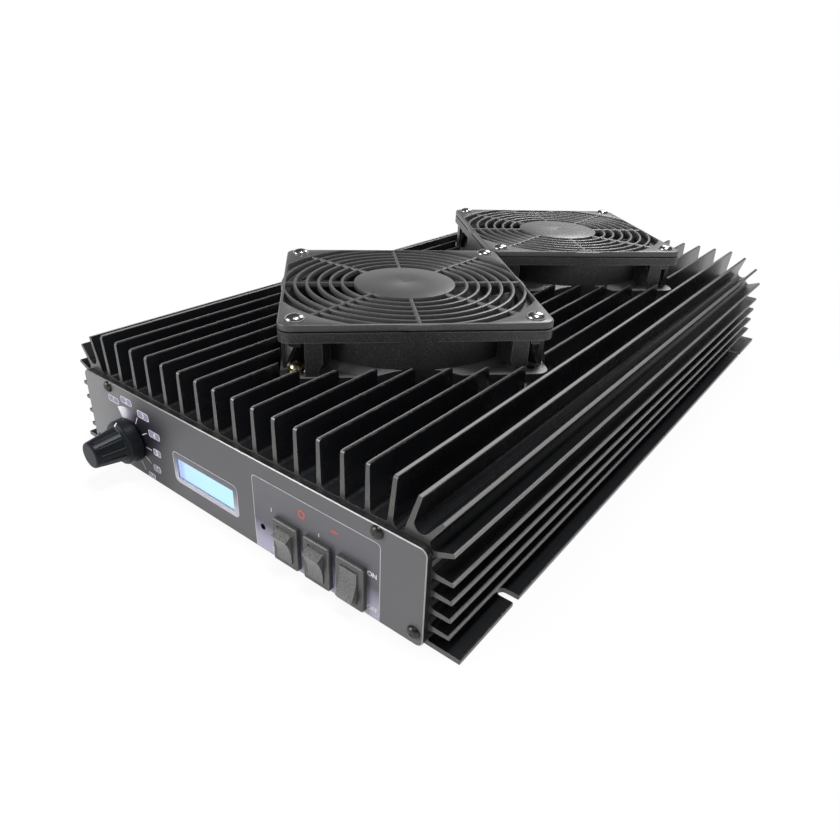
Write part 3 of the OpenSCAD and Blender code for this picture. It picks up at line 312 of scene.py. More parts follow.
# %% World
HORIZON = (0.1, (1, 1, 1))
OVERHEAD = (0.36, (0.07, 0.072, 0.075))
world = bpy.data.worlds.new("studio")
bpy.context.scene.world = world
world.use_nodes = True
world.node_tree.nodes.clear()


def sky(colour, strength):
    background = add(world, "ShaderNodeBackground")
    put(world, colour, background.inputs["Color"])
    background.inputs["Strength"].default_value = strength
    return background.outputs[0]


height = add(world, "ShaderNodeSeparateXYZ")
put(world, add(world, "ShaderNodeTexCoord").outputs["Generated"], height.inputs[0])
ceiling = ramp(world, height.outputs["Z"], HORIZON, OVERHEAD)
soft_sky = sky((0.96, 0.98, 1.0), strength=0.28)
mirrored_sky = sky(ceiling, strength=1.0)
white_sky = sky((1, 1, 1), strength=1.0)
rays = add(world, "ShaderNodeLightPath").outputs
seen = sums(world, "MAXIMUM", rays["Is Camera Ray"], rays["Is Transmission Ray"])
unseen_sky = choose(world, rays["Is Glossy Ray"], soft_sky, mirrored_sky)
world_out = add(world, "ShaderNodeOutputWorld")
put(world, choose(world, seen, unseen_sky, white_sky), world_out.inputs["Surface"])
print("world nodes:", len(world.node_tree.nodes))

# %% [markdown]
# ## Lamps
#
# The main light of the photograph is a large soft one at the front left, so the panel's left
# end is brightest. A second one hangs above. A third stands behind, where level satin faces
# mirror it: the guards and the tips of the fins get their sheen from it. Square area lamps
# are used, because their soft edges look like those of a studio's soft boxes.

# %% Lamps
def soft_lamp(name, location, aimed_at, side, watts):
    lamp = bpy.data.lights.new(name, "AREA")
    lamp.shape = "SQUARE"
    lamp.size = side
    lamp.energy = watts
    holder = bpy.data.objects.new(name, lamp)
    holder.location = location
    holder.rotation_mode = "QUATERNION"
    aim = Vector(aimed_at) - Vector(location)
    holder.rotation_quaternion = aim.to_track_quat("-Z", "Y")
    bpy.context.scene.collection.objects.link(holder)


soft_lamp("front_left_light", (-0.75, -1.0, 0.55), (-0.02, -0.15, 0.03), side=0.6, watts=10.0)
soft_lamp("top_light", (0.2, -0.1, 1.3), (0.0, 0.0, 0.05), side=0.3, watts=12.0)
soft_lamp("back_light", (-0.2, 0.95, 0.82), (0.0, 0.0, 0.07), side=0.4, watts=6.5)

# %% [markdown]
# ## Floor
#
# The amplifier stands on white. A glowing floor would lose the object's shadow, and a plain
# one would look grey, so the floor is a mix: the camera sees mostly white, a little less of
# it close to the object, and the rest is white paint that takes the shadow.

# %% Floor
FLOOR_RADIUS = 4.0
FLOOR_DROP = 0.0002
NEAR_SHARE, SHARE_GAIN = 0.88, 0.12
bpy.ops.mesh.primitive_circle_add(vertices=96, radius=FLOOR_RADIUS, fill_type="NGON",
                                  location=(0, 0, -FLOOR_DROP))
floor = bpy.context.object
floor.name = "floor"
floor_finish = new_finish("white_floor", roughness=0.9)
floor_speck = noise(floor_finish, 40.0)
paint(floor_finish, tones(floor_finish, floor_speck, (0.9, 0.9, 0.9), (0.93, 0.93, 0.93)))
floor_glow = add(floor_finish, "ShaderNodeEmission")
floor_glow.inputs["Color"].default_value = (1, 1, 1, 1)
floor_glow.inputs["Strength"].default_value = 1.0
outwards = distance(floor_finish, along(floor_finish, "X"), along(floor_finish, "Y"))
far = smooth_step(floor_finish, outwards, 0.12, 0.4)
white_share = sums(floor_finish, "MULTIPLY_ADD", far, SHARE_GAIN, NEAR_SHARE)
rays = add(floor_finish, "ShaderNodeLightPath").outputs
mirrored = sums(floor_finish, "MAXIMUM", rays["Is Glossy Ray"], rays["Is Transmission Ray"])
is_seen = sums(floor_finish, "MAXIMUM", rays["Is Camera Ray"], mirrored)
floor_nodes = floor_finish.node_tree.nodes
floor_look = choose(floor_finish, product(floor_finish, white_share, is_seen),
                    floor_nodes["Principled BSDF"].outputs[0], floor_glow.outputs[0])
put(floor_finish, floor_look, floor_nodes["Material Output"].inputs["Surface"])
floor.data.materials.append(floor_finish)
print("floor radius in m:", FLOOR_RADIUS)

# %% [markdown]
# ## Black anodised extrusion
#
# The finned case is pressed through a die, cut to length and anodised black. The die leaves
# fine streaks along its length, so the noise is stretched along Y. The front ends of the fins
# face the front lamp and get a painted light, a brownish grey that a mask finds by the way
# they face.

# %% Streaks and painted light on the front ends
def dress(finish, *names):
    """Gives a finish to CAD nodes by their own names."""
    for name in names:
        slots = nodes[name].data.materials
        slots.clear()
        slots.append(finish)


anodised = new_finish("black_anodised", specular=0.8)
streaks = noise(anodised, 700.0, stretch=(1, 0.012, 1))
black = tones(anodised, streaks, (0.008, 0.0085, 0.01), (0.0105, 0.0112, 0.0135))
front_end_grain = noise(anodised, 1500.0, stretch=(1, 1, 0.1), detail=2)
front_end_light = tones(anodised, front_end_grain, (0.036, 0.034, 0.032), (0.062, 0.059, 0.055))
# painted light: faces that point to the front are drawn lighter
facing_front = faces(anodised, "Y", -0.9, -0.97)
case_colour = blend_colours(anodised, facing_front, black, front_end_light)
print("streaks run along Y on", anodised.name)

# %% [markdown]
# Each upright fin gets a painted highlight, a thin light line along the left part of its tip
# that fades towards the back. The fins stand at one pitch, half a pitch off the middle of the
# case, so the fraction of a pitch says how far a point is from the middle of its fin.

# %% Painted highlight lines along the fins' tips
FIN_PITCH, TIP_FOOT, TIP_TOP = 11.7, 63.2, 63.8
pitches = sums(anodised, "DIVIDE", along(anodised, "X"), FIN_PITCH * MM)
beside_fin = sums(anodised, "SUBTRACT", sums(anodised, "FRACT", pitches), 0.5)
line_place = product(anodised, smooth_step(anodised, beside_fin, -0.085, -0.06),
                     smooth_step(anodised, beside_fin, 0.01, -0.03))
tip = product(anodised, span(anodised, "Z", TIP_FOOT, TIP_TOP), faces(anodised, "Z", 0.7, 0.9))
tip_highlight = product(anodised, tip, line_place, span(anodised, "Y", 150, -190))
case_colour = blend_colours(anodised, tip_highlight, case_colour, (0.2, 0.185, 0.175))
print("fin pitch in mm:", FIN_PITCH)

# %% [markdown]
# Handling wears the black off the sharp edges, in nicks rather than evenly, so a noise
# breaks up the mask of the edges. The light edges are also a painted highlight, which fades
# towards the back.

# %% Nicked edges with a painted highlight
NICK_RADIUS = 0.22
nicks = noise(anodised, 420.0)
worn_and_highlit = product(anodised, edge_wear(anodised, NICK_RADIUS), smooth_step(anodised, nicks, 0.42, 0.72),
               span(anodised, "Y", 200, -190))
case_colour = blend_colours(anodised, worn_and_highlit, case_colour, (0.3, 0.29, 0.28))
print("edges worn within mm:", NICK_RADIUS)

# %% [markdown]
# The side fins end in noses whose upper half is painted lighter, a painted highlight where
# they catch the light, and each corner fin has a painted light line at its tip's upper corner.
# The bare metal there is rougher than the black, so the same mask also goes into the roughness.

# %% Painted highlights on the noses of the side and corner fins
SIDE_FIN_Z, SIDE_FIN_PITCH, NOSE_X = 8.8, 7.85, 112.4
CORNER_TIPS = [(88.0, 64.6), (98.4, 61.4), (108.3, 54.8), (113.0, 44.8)]
sideways = sums(anodised, "ABSOLUTE", along(anodised, "X"))


def near_tip(x, z):
    """1 round the upper corner of a tip that runs along Y, on both sides of the case."""
    outwards = sums(anodised, "SUBTRACT", sideways, x * MM)
    reach = distance(anodised, outwards, offset(anodised, "Z", z))
    return smooth_step(anodised, reach, 1.1 * MM, 0.7 * MM)


pitches = sums(anodised, "DIVIDE", offset(anodised, "Z", SIDE_FIN_Z - SIDE_FIN_PITCH / 2),
               SIDE_FIN_PITCH * MM)
above_fin = sums(anodised, "SUBTRACT", sums(anodised, "FRACT", pitches), 0.5)
nose_highlights = product(anodised, smooth_step(anodised, sideways, NOSE_X * MM, (NOSE_X + 0.4) * MM),
                smooth_step(anodised, above_fin, 0.0, 0.03), span(anodised, "Z", 5, 6))
for corner in CORNER_TIPS:
    nose_highlights = sums(anodised, "MAXIMUM", nose_highlights, near_tip(*corner))
not_facing_front = sums(anodised, "SUBTRACT", 1.0, facing_front)
nose_highlights = product(anodised, nose_highlights, not_facing_front, span(anodised, "Y", 300, -100))
# painted highlight on the noses and the corner tips
case_colour = blend_colours(anodised, nose_highlights, case_colour, (0.2, 0.19, 0.182))
paint(anodised, case_colour)
cloudy = sums(anodised, "MULTIPLY_ADD", noise(anodised, 25.0), 0.12, 0.22)
uneven_gloss(anodised, sums(anodised, "MAXIMUM", nose_highlights, tip), 0.35, cloudy)
dress(anodised, "heatsink")
print("corner tips with a light line:", 2 * len(CORNER_TIPS))

# %% [markdown]
# ## Painted steel and small black metal
#
# The bottom cover and the rear panel are sheet metal with a black powder coat, which has a
# fine orange-peel surface. The panel screws are blackened steel, a little shinier.

# %% Black paint and black steel
black_paint = new_finish("black_paint", roughness=0.5)
peel = noise(black_paint, 1800.0, detail=2)
paint(black_paint, tones(black_paint, peel, (0.012, 0.012, 0.013), (0.02, 0.02, 0.022), low=0.35))
bump(black_paint, peel, 0.03, 0.5)
dress(black_paint, "bottom_cover", "rear_panel")

black_steel = new_finish("black_steel", roughness=0.32, metallic=0.85)
steel_grain = noise(black_steel, 2500.0)
steel_colour = tones(black_steel, steel_grain, (0.035, 0.035, 0.035), (0.07, 0.07, 0.068))
# The lighter edges are worn and also a painted highlight.
paint(black_steel, blend_colours(black_steel, edge_wear(black_steel, 0.2), steel_colour, (0.3, 0.3, 0.29)))
bump(black_steel, steel_grain, 0.02, 0.3)
dress(black_steel, "front_panel_screws", "rear_panel_screws", "bottom_cover_screws", "band_switch",
      "fan_guard_nuts")
print("black finishes:", black_paint.name, black_steel.name)

# %% [markdown]
# ## Front panel
#
# The panel is a 3 mm aluminium plate, sprayed a metallic grey and printed. Sharp printed
# lines get pieces of their own further on. The soft shades are painted by masks in the
# panel's own finish, one after another. The first is the grey, in three tones along the
# panel as painted light and shade: lightest at the left end, nearest the lamp at the front
# left, darkest from the knob to the display, and between the two at the right.

# %% Sprayed grey with painted light and shade along the panel
panel_grey = new_finish("panel_metal", metallic=0.25)
flakes = noise(panel_grey, 3500.0, detail=1)
lit_left_grey = tones(panel_grey, flakes, (0.17, 0.17, 0.175), (0.23, 0.23, 0.235))
shaded_middle_grey = tones(panel_grey, flakes, (0.075, 0.075, 0.08), (0.11, 0.11, 0.115))
right_grey = tones(panel_grey, flakes, (0.1, 0.1, 0.104), (0.142, 0.142, 0.146))
# painted light and shade: lighter at the left end, darker in the middle
grey = blend_colours(panel_grey, span(panel_grey, "X", -105, -45), lit_left_grey, shaded_middle_grey)
grey = blend_colours(panel_grey, span(panel_grey, "X", -30, 100), grey, right_grey)
uneven_gloss(panel_grey, flakes, 0.12, 0.36)
bump(panel_grey, flakes, 0.01, 0.5)
print("panel sprayed:", panel_grey.name)

# %% [markdown]
# A purple-black shade sweeps round the knob. It is strongest at the knob and fades out
# with the distance and, at both ends of the sweep, with the angle.

# %% Dark sweep round the knob
KNOB_X, KNOB_Z = -70.0, 17.6
SWEEP_FAR, SWEEP_NEAR = 44, 17


def angle_span(finish, angle, start, end):
    """0 before start and 1 after end, in degrees."""
    return smooth_step(finish, angle, math.radians(start), math.radians(end))


def knob_offsets(finish):
    return offset(finish, "X", KNOB_X), offset(finish, "Z", KNOB_Z)


across, upwards = knob_offsets(panel_grey)
knob_angle = sums(panel_grey, "ARCTAN2", upwards, across)
knob_reach = distance(panel_grey, across, upwards)
sweep = product(panel_grey, smooth_step(panel_grey, knob_reach, SWEEP_FAR * MM, SWEEP_NEAR * MM),
                angle_span(panel_grey, knob_angle, 88, 50),
                angle_span(panel_grey, knob_angle, -140, -85))
grey = blend_colours(panel_grey, sweep, grey, (0.012, 0.01, 0.018))
print("sweep centred in mm on", (KNOB_X, KNOB_Z))

# %% [markdown]
# The box round the switches has a shade of its own, which turns lavender towards its foot.
# Its sides and its top end the shade sharply, under the printed line.

# %% Shade in the switch box
BOX_X, BOX_Z, BOX_WIDE, BOX_HIGH = 51.4, 19.05, 67.0, 34.1
BOX_TOP = BOX_Z + BOX_HIGH / 2
in_box = product(panel_grey, within(panel_grey, "X", BOX_X, BOX_WIDE / 2, 0.1),
                 span(panel_grey, "Z", BOX_TOP + 0.1, BOX_TOP - 0.1))
box_shade = ramp(panel_grey, span(panel_grey, "Z", 1.5, 36),
                 (0.0, (0.42, 0.40, 0.52)), (0.16, (0.26, 0.25, 0.33)),
                 (0.34, (0.10, 0.097, 0.12)), (1.0, (0.13, 0.128, 0.14)))
grey = blend_colours(panel_grey, in_box, grey, box_shade)
print("top of the switch box in mm:", BOX_TOP)

# %% [markdown]
# The front edge is bevelled, and the bevel carries a painted highlight, brighter to the right.
# The sides stay rough and black with a few light specks, but the walls of the display's window
# are painted with the lavender light they take from the display. Bevel and sides are found by
# the way they face, and the walls by their place.

# %% Painted highlight on the bevel, sides and lit window walls
WINDOW_X, WINDOW_Z = -14.5, 16.5
WALL_HALF_X, WALL_HALF_Z = 20.25, 6.25
bevelled = product(panel_grey, faces(panel_grey, "Y", -0.95, -0.85),
                   faces(panel_grey, "Y", -0.3, -0.5))
bevel_highlight = ramp(panel_grey, span(panel_grey, "X", -60, 20),
                    (0.0, (0.13, 0.13, 0.13)), (1.0, (0.42, 0.42, 0.43)))
# painted highlight along the bevel
grey = blend_colours(panel_grey, bevelled, grey, bevel_highlight)
side_grain = ramp(panel_grey, noise(panel_grey, 1200.0), (0.45, (0.012, 0.012, 0.012)),
                  (0.62, (0.022, 0.021, 0.02)), (0.75, (0.12, 0.11, 0.1)))
in_window = product(panel_grey, within(panel_grey, "X", WINDOW_X, WALL_HALF_X, 0.25),
                    within(panel_grey, "Z", WINDOW_Z, WALL_HALF_Z, 0.25))
# painted light from the display on the window walls
side_colour = blend_colours(panel_grey, in_window, side_grain, (0.36, 0.38, 0.62))
paint(panel_grey, blend_colours(panel_grey, faces(panel_grey, "Y", -0.35, -0.25), grey, side_colour))
dress(panel_grey, "front_panel")
print("panel nodes:", len(panel_grey.node_tree.nodes))

# %% [markdown]
# ## Display
#
# Behind a clear acrylic window sits a liquid-crystal glass with a blue backlight, lit and
# blank here. The backlight is a weak glow whose colour runs from blue at its left end to
# cyan, with a deeper blue along its left and upper rims.

# %% Lit glass and its window
lit_glass = new_finish("display_glass", roughness=0.2)
cells = noise(lit_glass, 1800.0, detail=1)
glow = blend_colours(lit_glass, span(lit_glass, "X", -36, -12), (0.52, 0.76, 0.98), (0.5, 0.86, 1.0))
glow = blend_colours(lit_glass, product(lit_glass, cells, 0.3), glow, (0.8, 0.97, 1.0))
rim = sums(lit_glass, "MAXIMUM", span(lit_glass, "X", -30.5, -33.5), span(lit_glass, "Z", 19.5, 21.5))
glow = blend_colours(lit_glass, product(lit_glass, rim, 0.6), glow, (0.3, 0.36, 0.9))
paint(lit_glass, tones(lit_glass, cells, (0.02, 0.05, 0.08), (0.03, 0.07, 0.1)))
shader_input(lit_glass, "Emission Color", glow)
shader_input(lit_glass, "Emission Strength", 0.95)
dress(lit_glass, "lcd_glass")

clear = new_finish("clear_window", roughness=0.06)
shader_input(clear, "Transmission Weight", 1.0)
shader_input(clear, "IOR", 1.49)
paint(clear, tones(clear, noise(clear, 60.0), (0.93, 0.97, 1.0), (0.98, 1.0, 1.0)))
dress(clear, "lcd_window")
print("display lit:", lit_glass.name)

# %% [markdown]
# ## Moulded plastics
#
# Knob, rockers, bezels and rotors are all moulded plastic, but not alike: the knob is smooth
# satin, and the rocker lobes carry a sparkling grain. One function makes them, with the
# colours and the grain as its values.

# %% Moulded finishes
def moulded(name, dark, light, grain, depth, roughness, wear_and_shine=0.0, worn_and_highlit=(0.36, 0.36, 0.36), specular=0.5):
    """Two-toned plastic: grain is the noise's scale, depth its bump in mm, and the edge share sets how much
    its edges are worn and lit by a painted highlight.
    """
    finish = new_finish(name, roughness=roughness, specular=specular)
    speckle = noise(finish, grain, detail=2)
    colour = tones(finish, speckle, dark, light, high=0.72)
    if wear_and_shine:
        colour = blend_colours(finish, edge_wear(finish, 0.25, wear_and_shine), colour, worn_and_highlit)
    paint(finish, colour)
    bump(finish, speckle, depth, 0.6)
    return finish


dress(moulded("knob_plastic", (0.009, 0.011, 0.014), (0.014, 0.017, 0.021), 1500.0, 0.01, 0.33,
              wear_and_shine=0.25, worn_and_highlit=(0.1, 0.11, 0.12), specular=0.12), "band_knob")
dress(moulded("switch_plastic", (0.045, 0.046, 0.045), (0.08, 0.082, 0.079), 1600.0, 0.03, 0.4, wear_and_shine=0.6),
      "left_switch_housing", "middle_switch_housing", "right_switch_housing")
dress(moulded("rocker_plastic", (0.06, 0.063, 0.06), (0.2, 0.203, 0.199), 1900.0, 0.07, 0.42, wear_and_shine=0.4),
      "left_rocker", "middle_rocker", "right_rocker")
dress(moulded("fan_plastic", (0.012, 0.012, 0.013), (0.02, 0.02, 0.021), 1300.0, 0.02, 0.4),
      "front_fan_rotor", "rear_fan_rotor")
dress(moulded("black_plastic", (0.014, 0.014, 0.015), (0.022, 0.022, 0.023), 1400.0, 0.02, 0.45),
      "set_switch", "set_button")
dress(moulded("relay_plastic", (0.6, 0.6, 0.56), (0.72, 0.72, 0.68), 900.0, 0.02, 0.45), "filter_relays")
dress(moulded("rubber", (0.012, 0.012, 0.012), (0.02, 0.02, 0.02), 1100.0, 0.03, 0.7), "power_lead_grommet")
print("knob dressed:", nodes["band_knob"].data.materials[0].name)

# %% [markdown]
# ## Tools for the shapes
#
# Turned and moulded pieces are made of rows of points that are joined into a skin: a ring
# is one profile turned round an axis, and a moulded frame is a stack of outlines, each a
# little smaller or higher than the last.

# %% Skins and turned profiles
def skin(mesh, rows, closed=False):
    """Faces between rings of points in metres; closed joins the last ring to the first."""
    made = [[mesh.verts.new(point) for point in row] for row in rows]
    pairs = list(zip(made, made[1:])) + ([(made[-1], made[0])] if closed else [])
    for low, high in pairs:
        for i in range(len(low)):
            j = (i + 1) % len(low)
            mesh.faces.new((low[i], low[j], high[j], high[i]))
    return made


def round_point(radius, turn, height):
    """A point in metres, from mm and an angle round Z."""
    return radius * MM * math.cos(turn), radius * MM * math.sin(turn), height * MM


def turned(mesh, profile, segments):
    """Turns (radius, height) points in mm round Z; a radius of 0 closes the end."""
    turns = [2 * math.pi * i / segments for i in range(segments)]
    made = skin(mesh, [[round_point(r, t, z) for t in turns] for r, z in profile if r > 0])
    for row, (radius, height) in ((made[0], profile[0]), (made[-1], profile[-1])):
        if radius == 0:
            middle = mesh.verts.new((0, 0, height * MM))
            for i in range(segments):
                mesh.faces.new((row[i], row[(i + 1) % segments], middle))
    return made


print("shape tools:", skin.__name__, turned.__name__)

# %% [markdown]
# A mesh becomes a piece when it has a finish and rides on a body of the CAD model. Curved
# pieces are shaded smoothly, and edges sharper than 35 degrees stay sharp.

# %% Pieces from meshes
SHARP_ANGLE = 35


def outward_data(mesh, name):
    """Mesh data from a bmesh, with its faces pointing outwards."""
    bmesh.ops.recalc_face_normals(mesh, faces=mesh.faces)
    data = bpy.data.meshes.new(name)
    mesh.to_mesh(data)
    mesh.free()
    return data


def piece_of(data, name, finish, body, slot_name, origin=(0, 0, 0)):
    """Puts mesh data into the scene as a piece that rides on a body."""
    data.materials.append(finish)
    piece = bpy.data.objects.new(name, data)
    piece.location = origin
    bpy.context.scene.collection.objects.link(piece)
    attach(piece, body)
    return piece


def smooth_piece(mesh, name, finish, slot_name, origin=(0, 0, 0)):
    """A curved piece on the chassis, from a bmesh."""
    data = outward_data(mesh, name)
    data.polygons.foreach_set("use_smooth", [True] * len(data.polygons))
    data.set_sharp_from_angle(angle=math.radians(SHARP_ANGLE))
    return piece_of(data, name, finish, "chassis", slot_name, origin)


print("edges stay sharp from", SHARP_ANGLE, "degrees")

# %% [markdown]
# ## Fan guards
#
# Each guard is one moulding in a satin, glass-filled dark grey. Plastic is shot in at the
# middle of its disc, and flow marks run out from that gate. A noise along the angle draws
# them, and they fade with the distance.

# %% Guard finish
FLOW_FAR, FLOW_NEAR = 12, 1
guard_grey = new_finish("guard_plastic")
guard_speckle = noise(guard_grey, 1400.0, detail=2)
guard_colour = tones(guard_grey, guard_speckle, (0.052, 0.052, 0.053), (0.084, 0.084, 0.085), high=0.72)
across, upwards = along(guard_grey, "X"), along(guard_grey, "Y")
flow = add(guard_grey, "ShaderNodeTexNoise", noise_dimensions="1D")
flow.inputs["Scale"].default_value = 2.2
flow.inputs["Detail"].default_value = 3.0
put(guard_grey, sums(guard_grey, "ARCTAN2", upwards, across), flow.inputs["W"])
near_gate = smooth_step(guard_grey, distance(guard_grey, across, upwards), FLOW_FAR * MM, FLOW_NEAR * MM)
flow_mark = product(guard_grey, smooth_step(guard_grey, flow.outputs["Fac"], 0.3, 0.8), near_gate)
guard_colour = blend_colours(guard_grey, product(guard_grey, flow_mark, 0.55), guard_colour,
                             (0.17, 0.165, 0.15))
paint(guard_grey, guard_colour)
uneven_gloss(guard_grey, guard_speckle, 0.14, 0.3)
bump(guard_grey, guard_speckle, 0.01, 0.2)
print("flow marks reach in mm:", FLOW_FAR)

# %% [markdown]
# A guard is a square frame, six rings and eight spokes round a disc. The CAD solid has
# sharp rings, and real ones are rounded, which is why every ring shows a light line. So a
# rounded guard of the same sizes stands in its place. It is drawn with its sides along X and
# Y. The opening of its frame is a circle that the four sides cut off.

# %% Outlines of the guard
GUARD_HALF, GUARD_CORNER, GUARD_HIGH = 60.0, 6.0, 3.7
OPEN_ROUND, OPEN_HALF = 65.5, 58.6


def square_reach(turn, half, radius):
    """How far a rounded square reaches from its middle in one direction."""
    longer, shorter = sorted((abs(math.cos(turn)), abs(math.sin(turn))), reverse=True)
    core = half - radius
    if half * shorter / longer <= core:
        return half / longer
    middle = core * (longer + shorter)
    return middle + math.sqrt(max(0.0, middle ** 2 - 2 * core * core + radius * radius))


def opening_reach(turn, grow):
    longer = max(abs(math.cos(turn)), abs(math.sin(turn)))
    return min(OPEN_ROUND + grow, (OPEN_HALF + grow) / longer)


print("guard corner reaches in mm:", round(square_reach(math.pi / 4, GUARD_HALF, GUARD_CORNER), 2))

# %% [markdown]
# The frame is a stack of outlines, up the outside and down the opening. A step under its
# rim leaves the dark gap that is seen above the fan's flange. The rings and the disc are
# turned profiles, and each spoke is a bar with the same rounded top.

# %% Parts of the guard
DISC_R, RINGS, RIB_LOW, RIB_HIGH = 25.4, 6, 1.0, 2.4
RING_RADII = [DISC_R + i * (GUARD_HALF - DISC_R) / RINGS for i in range(1, RINGS + 1)]
RING_PROFILE = [(-0.8, 0), (-0.8, 1.85), (-0.62, 2.25), (-0.25, RIB_HIGH),
                (0.25, RIB_HIGH), (0.62, 2.25), (0.8, 1.85), (0.8, 0)]
SPOKE_PROFILE = [(-1.0, 0), (-1.0, 1.75), (-0.75, 2.2), (-0.3, 2.34),
                 (0.3, 2.34), (0.75, 2.2), (1.0, 1.75), (1.0, 0)]
GATE_DIP, SPOKE_ROOT, SPOKE_END = 0.1, 0.8, 0.4
RING_POINTS = 144
FRAME_POINTS = 384


def guard_frame(mesh):
    turns = [2 * math.pi * i / FRAME_POINTS for i in range(FRAME_POINTS)]
    outside = ((1.5, 0.0), (1.5, 0.55), (0.25, 0.6), (0.0, 0.85), (0.0, GUARD_HIGH - 0.75),
               (0.12, GUARD_HIGH - 0.35), (0.4, GUARD_HIGH - 0.1), (0.75, GUARD_HIGH))
    opening = ((0.3, GUARD_HIGH), (0.08, GUARD_HIGH - 0.12), (0.0, GUARD_HIGH - 0.4), (0.0, 0.0))
    rows = [[round_point(square_reach(t, GUARD_HALF - inset, GUARD_CORNER - inset), t, z) for t in turns]
            for inset, z in outside]
    rows += [[round_point(opening_reach(t, grow), t, z) for t in turns] for grow, z in opening]
    skin(mesh, rows, closed=True)


def guard_ring(mesh, radius):
    made = turned(mesh, [(radius + x, RIB_LOW + z) for x, z in RING_PROFILE], RING_POINTS)
    first, last = made[0], made[-1]
    for corners in zip(first, first[1:] + first[:1], last[1:] + last[:1], last):
        mesh.faces.new(corners)


def guard_disc(mesh):
    top = RIB_LOW + RIB_HIGH
    edge = [(0, RIB_LOW), (DISC_R, RIB_LOW), (DISC_R, top - 0.5), (DISC_R - 0.2, top - 0.15)]
    face = [(DISC_R - 0.6, top), (12, top), (1.6, top), (1.2, top - GATE_DIP), (0, top - GATE_DIP)]
    turned(mesh, edge + face, RING_POINTS)


def guard_spoke(mesh, turn):
    c, s = math.cos(turn), math.sin(turn)
    ends = (DISC_R - SPOKE_ROOT, opening_reach(turn, 0.0) + SPOKE_END)
    rows = [[((r * c - x * s) * MM, (r * s + x * c) * MM, (RIB_LOW + z) * MM) for x, z in SPOKE_PROFILE]
            for r in ends]
    for end in skin(mesh, rows):
        mesh.faces.new(end)


print("rings at mm:", [round(radius, 1) for radius in RING_RADII])

# %% [markdown]
# Both guards are the same moulding, turned 45 degrees as the fans are. Each one replaces
# its CAD node, and its lowest face stays where the node's is.

# %% Front and rear guard
SPOKES, FAN_TURN = 8, 45


def guard_mesh():
    mesh = bmesh.new()
    guard_frame(mesh)
    for radius in RING_RADII:
        guard_ring(mesh, radius)
    guard_disc(mesh)
    for k in range(SPOKES):
        guard_spoke(mesh, 2 * math.pi * k / SPOKES)
    as_fans_stand = Matrix.Rotation(math.radians(FAN_TURN), 3, "Z")
    bmesh.ops.rotate(mesh, verts=mesh.verts, cent=(0, 0, 0), matrix=as_fans_stand)
    return mesh


fan_middles = []
for which in ("front", "rear"):
    low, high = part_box(which + "_fan_guard")
    middle = (low + high) / 2
    fan_middles.append(middle)
    guard = smooth_piece(guard_mesh(), which + "_guard_moulding", guard_grey, "guard_plastic",
                         (middle.x, middle.y, low.z))
    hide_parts(which + "_fan_guard")
    print(guard.name, "faces:", len(guard.data.polygons))

# %% [markdown]
# ## Screws with domed heads
#
# A pan head is a low dome with a cross pressed into it. The dome is turned from a profile,
# and a boolean takes the cross out. The CAD model draws the heads as plain cones, so these
# stand in their place.

# %% Screw shape
CROSS_ARM, CROSS_HALF_WIDTH, CROSS_DEPTH, CROSS_TAPER = 0.44, 0.07, 0.4, 0.7
DOME = [(0.96, 0), (1, 0.06), (1, 0.16), (0.95, 0.36),
        (0.82, 0.63), (0.62, 0.84), (0.36, 0.955), (0.15, 0.99)]


def evaluated_mesh(item):
    """A new mesh of an object as its modifiers or its font leave it."""
    bpy.context.view_layer.update()
    return bpy.data.meshes.new_from_object(item.evaluated_get(bpy.context.evaluated_depsgraph_get()))


def cross_cutter(head_r, head_h):
    """The shape that is pressed into a head: a cross that narrows downwards."""
    arm, wide = head_r * CROSS_ARM, head_r * CROSS_HALF_WIDTH
    outline = [(arm, -wide), (arm, wide), (wide, wide), (wide, arm), (-wide, arm), (-wide, wide),
               (-arm, wide), (-arm, -wide), (-wide, -wide), (-wide, -arm), (wide, -arm), (wide, -wide)]
    levels = ((CROSS_TAPER, head_h * (1 - CROSS_DEPTH)), (1, head_h + 0.3))
    mesh = bmesh.new()
    for end in skin(mesh, [[(x * taper * MM, y * taper * MM, z * MM) for x, y in outline]
                           for taper, z in levels]):
        mesh.faces.new(end)
    return outward_data(mesh, "cross")


def screw_shape(head_r, head_h, shank_r, shank_l, washers=()):
    """One screw along Z, given in mm, with its head's underside at 0; washers sit under it."""
    mesh = bmesh.new()
    dome = [(r * head_r, z * head_h) for r, z in DOME]
    shank = [(0, -shank_l), (shank_r, -shank_l), *washers, (shank_r, 0)]
    turned(mesh, [*shank, *dome, (0, head_h)], segments=48)
    screw = bpy.data.objects.new("screw", outward_data(mesh, "screw"))
    cross = bpy.data.objects.new("cross", cross_cutter(head_r, head_h))
    for item in (screw, cross):
        bpy.context.scene.collection.objects.link(item)
    cut = screw.modifiers.new("cross", "BOOLEAN")
    cut.operation = "DIFFERENCE"
    cut.object = cross
    cut.solver = "EXACT"
    result = evaluated_mesh(screw)
    for item in (screw, cross):
        bpy.data.objects.remove(item)
    return result


print("points of a dome:", len(DOME))

# %% [markdown]
# One shape serves every screw of a kind: it is copied to each place, and the copies are one
# piece that replaces the CAD node with all of these screws.

# %% Copies of a screw
def screws(name, places, shape, finish, slot_name, replaced):
    """One piece with a copy of the screw at each place, which are matrices."""
    mesh = bmesh.new()
    for place_matrix in places:
        copy = shape.copy()
        copy.transform(place_matrix)
        mesh.from_mesh(copy)
        bpy.data.meshes.remove(copy)
    piece = smooth_piece(mesh, name, finish, slot_name)
    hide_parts(replaced)
    print(name, len(places))


print("screws are placed by", screws.__name__)

# %% [markdown]
# The guards' screws are bright plated steel, smeared a little by handling. Just below the
# guard's top the finish turns dark, because the hole round the screw gets no light.

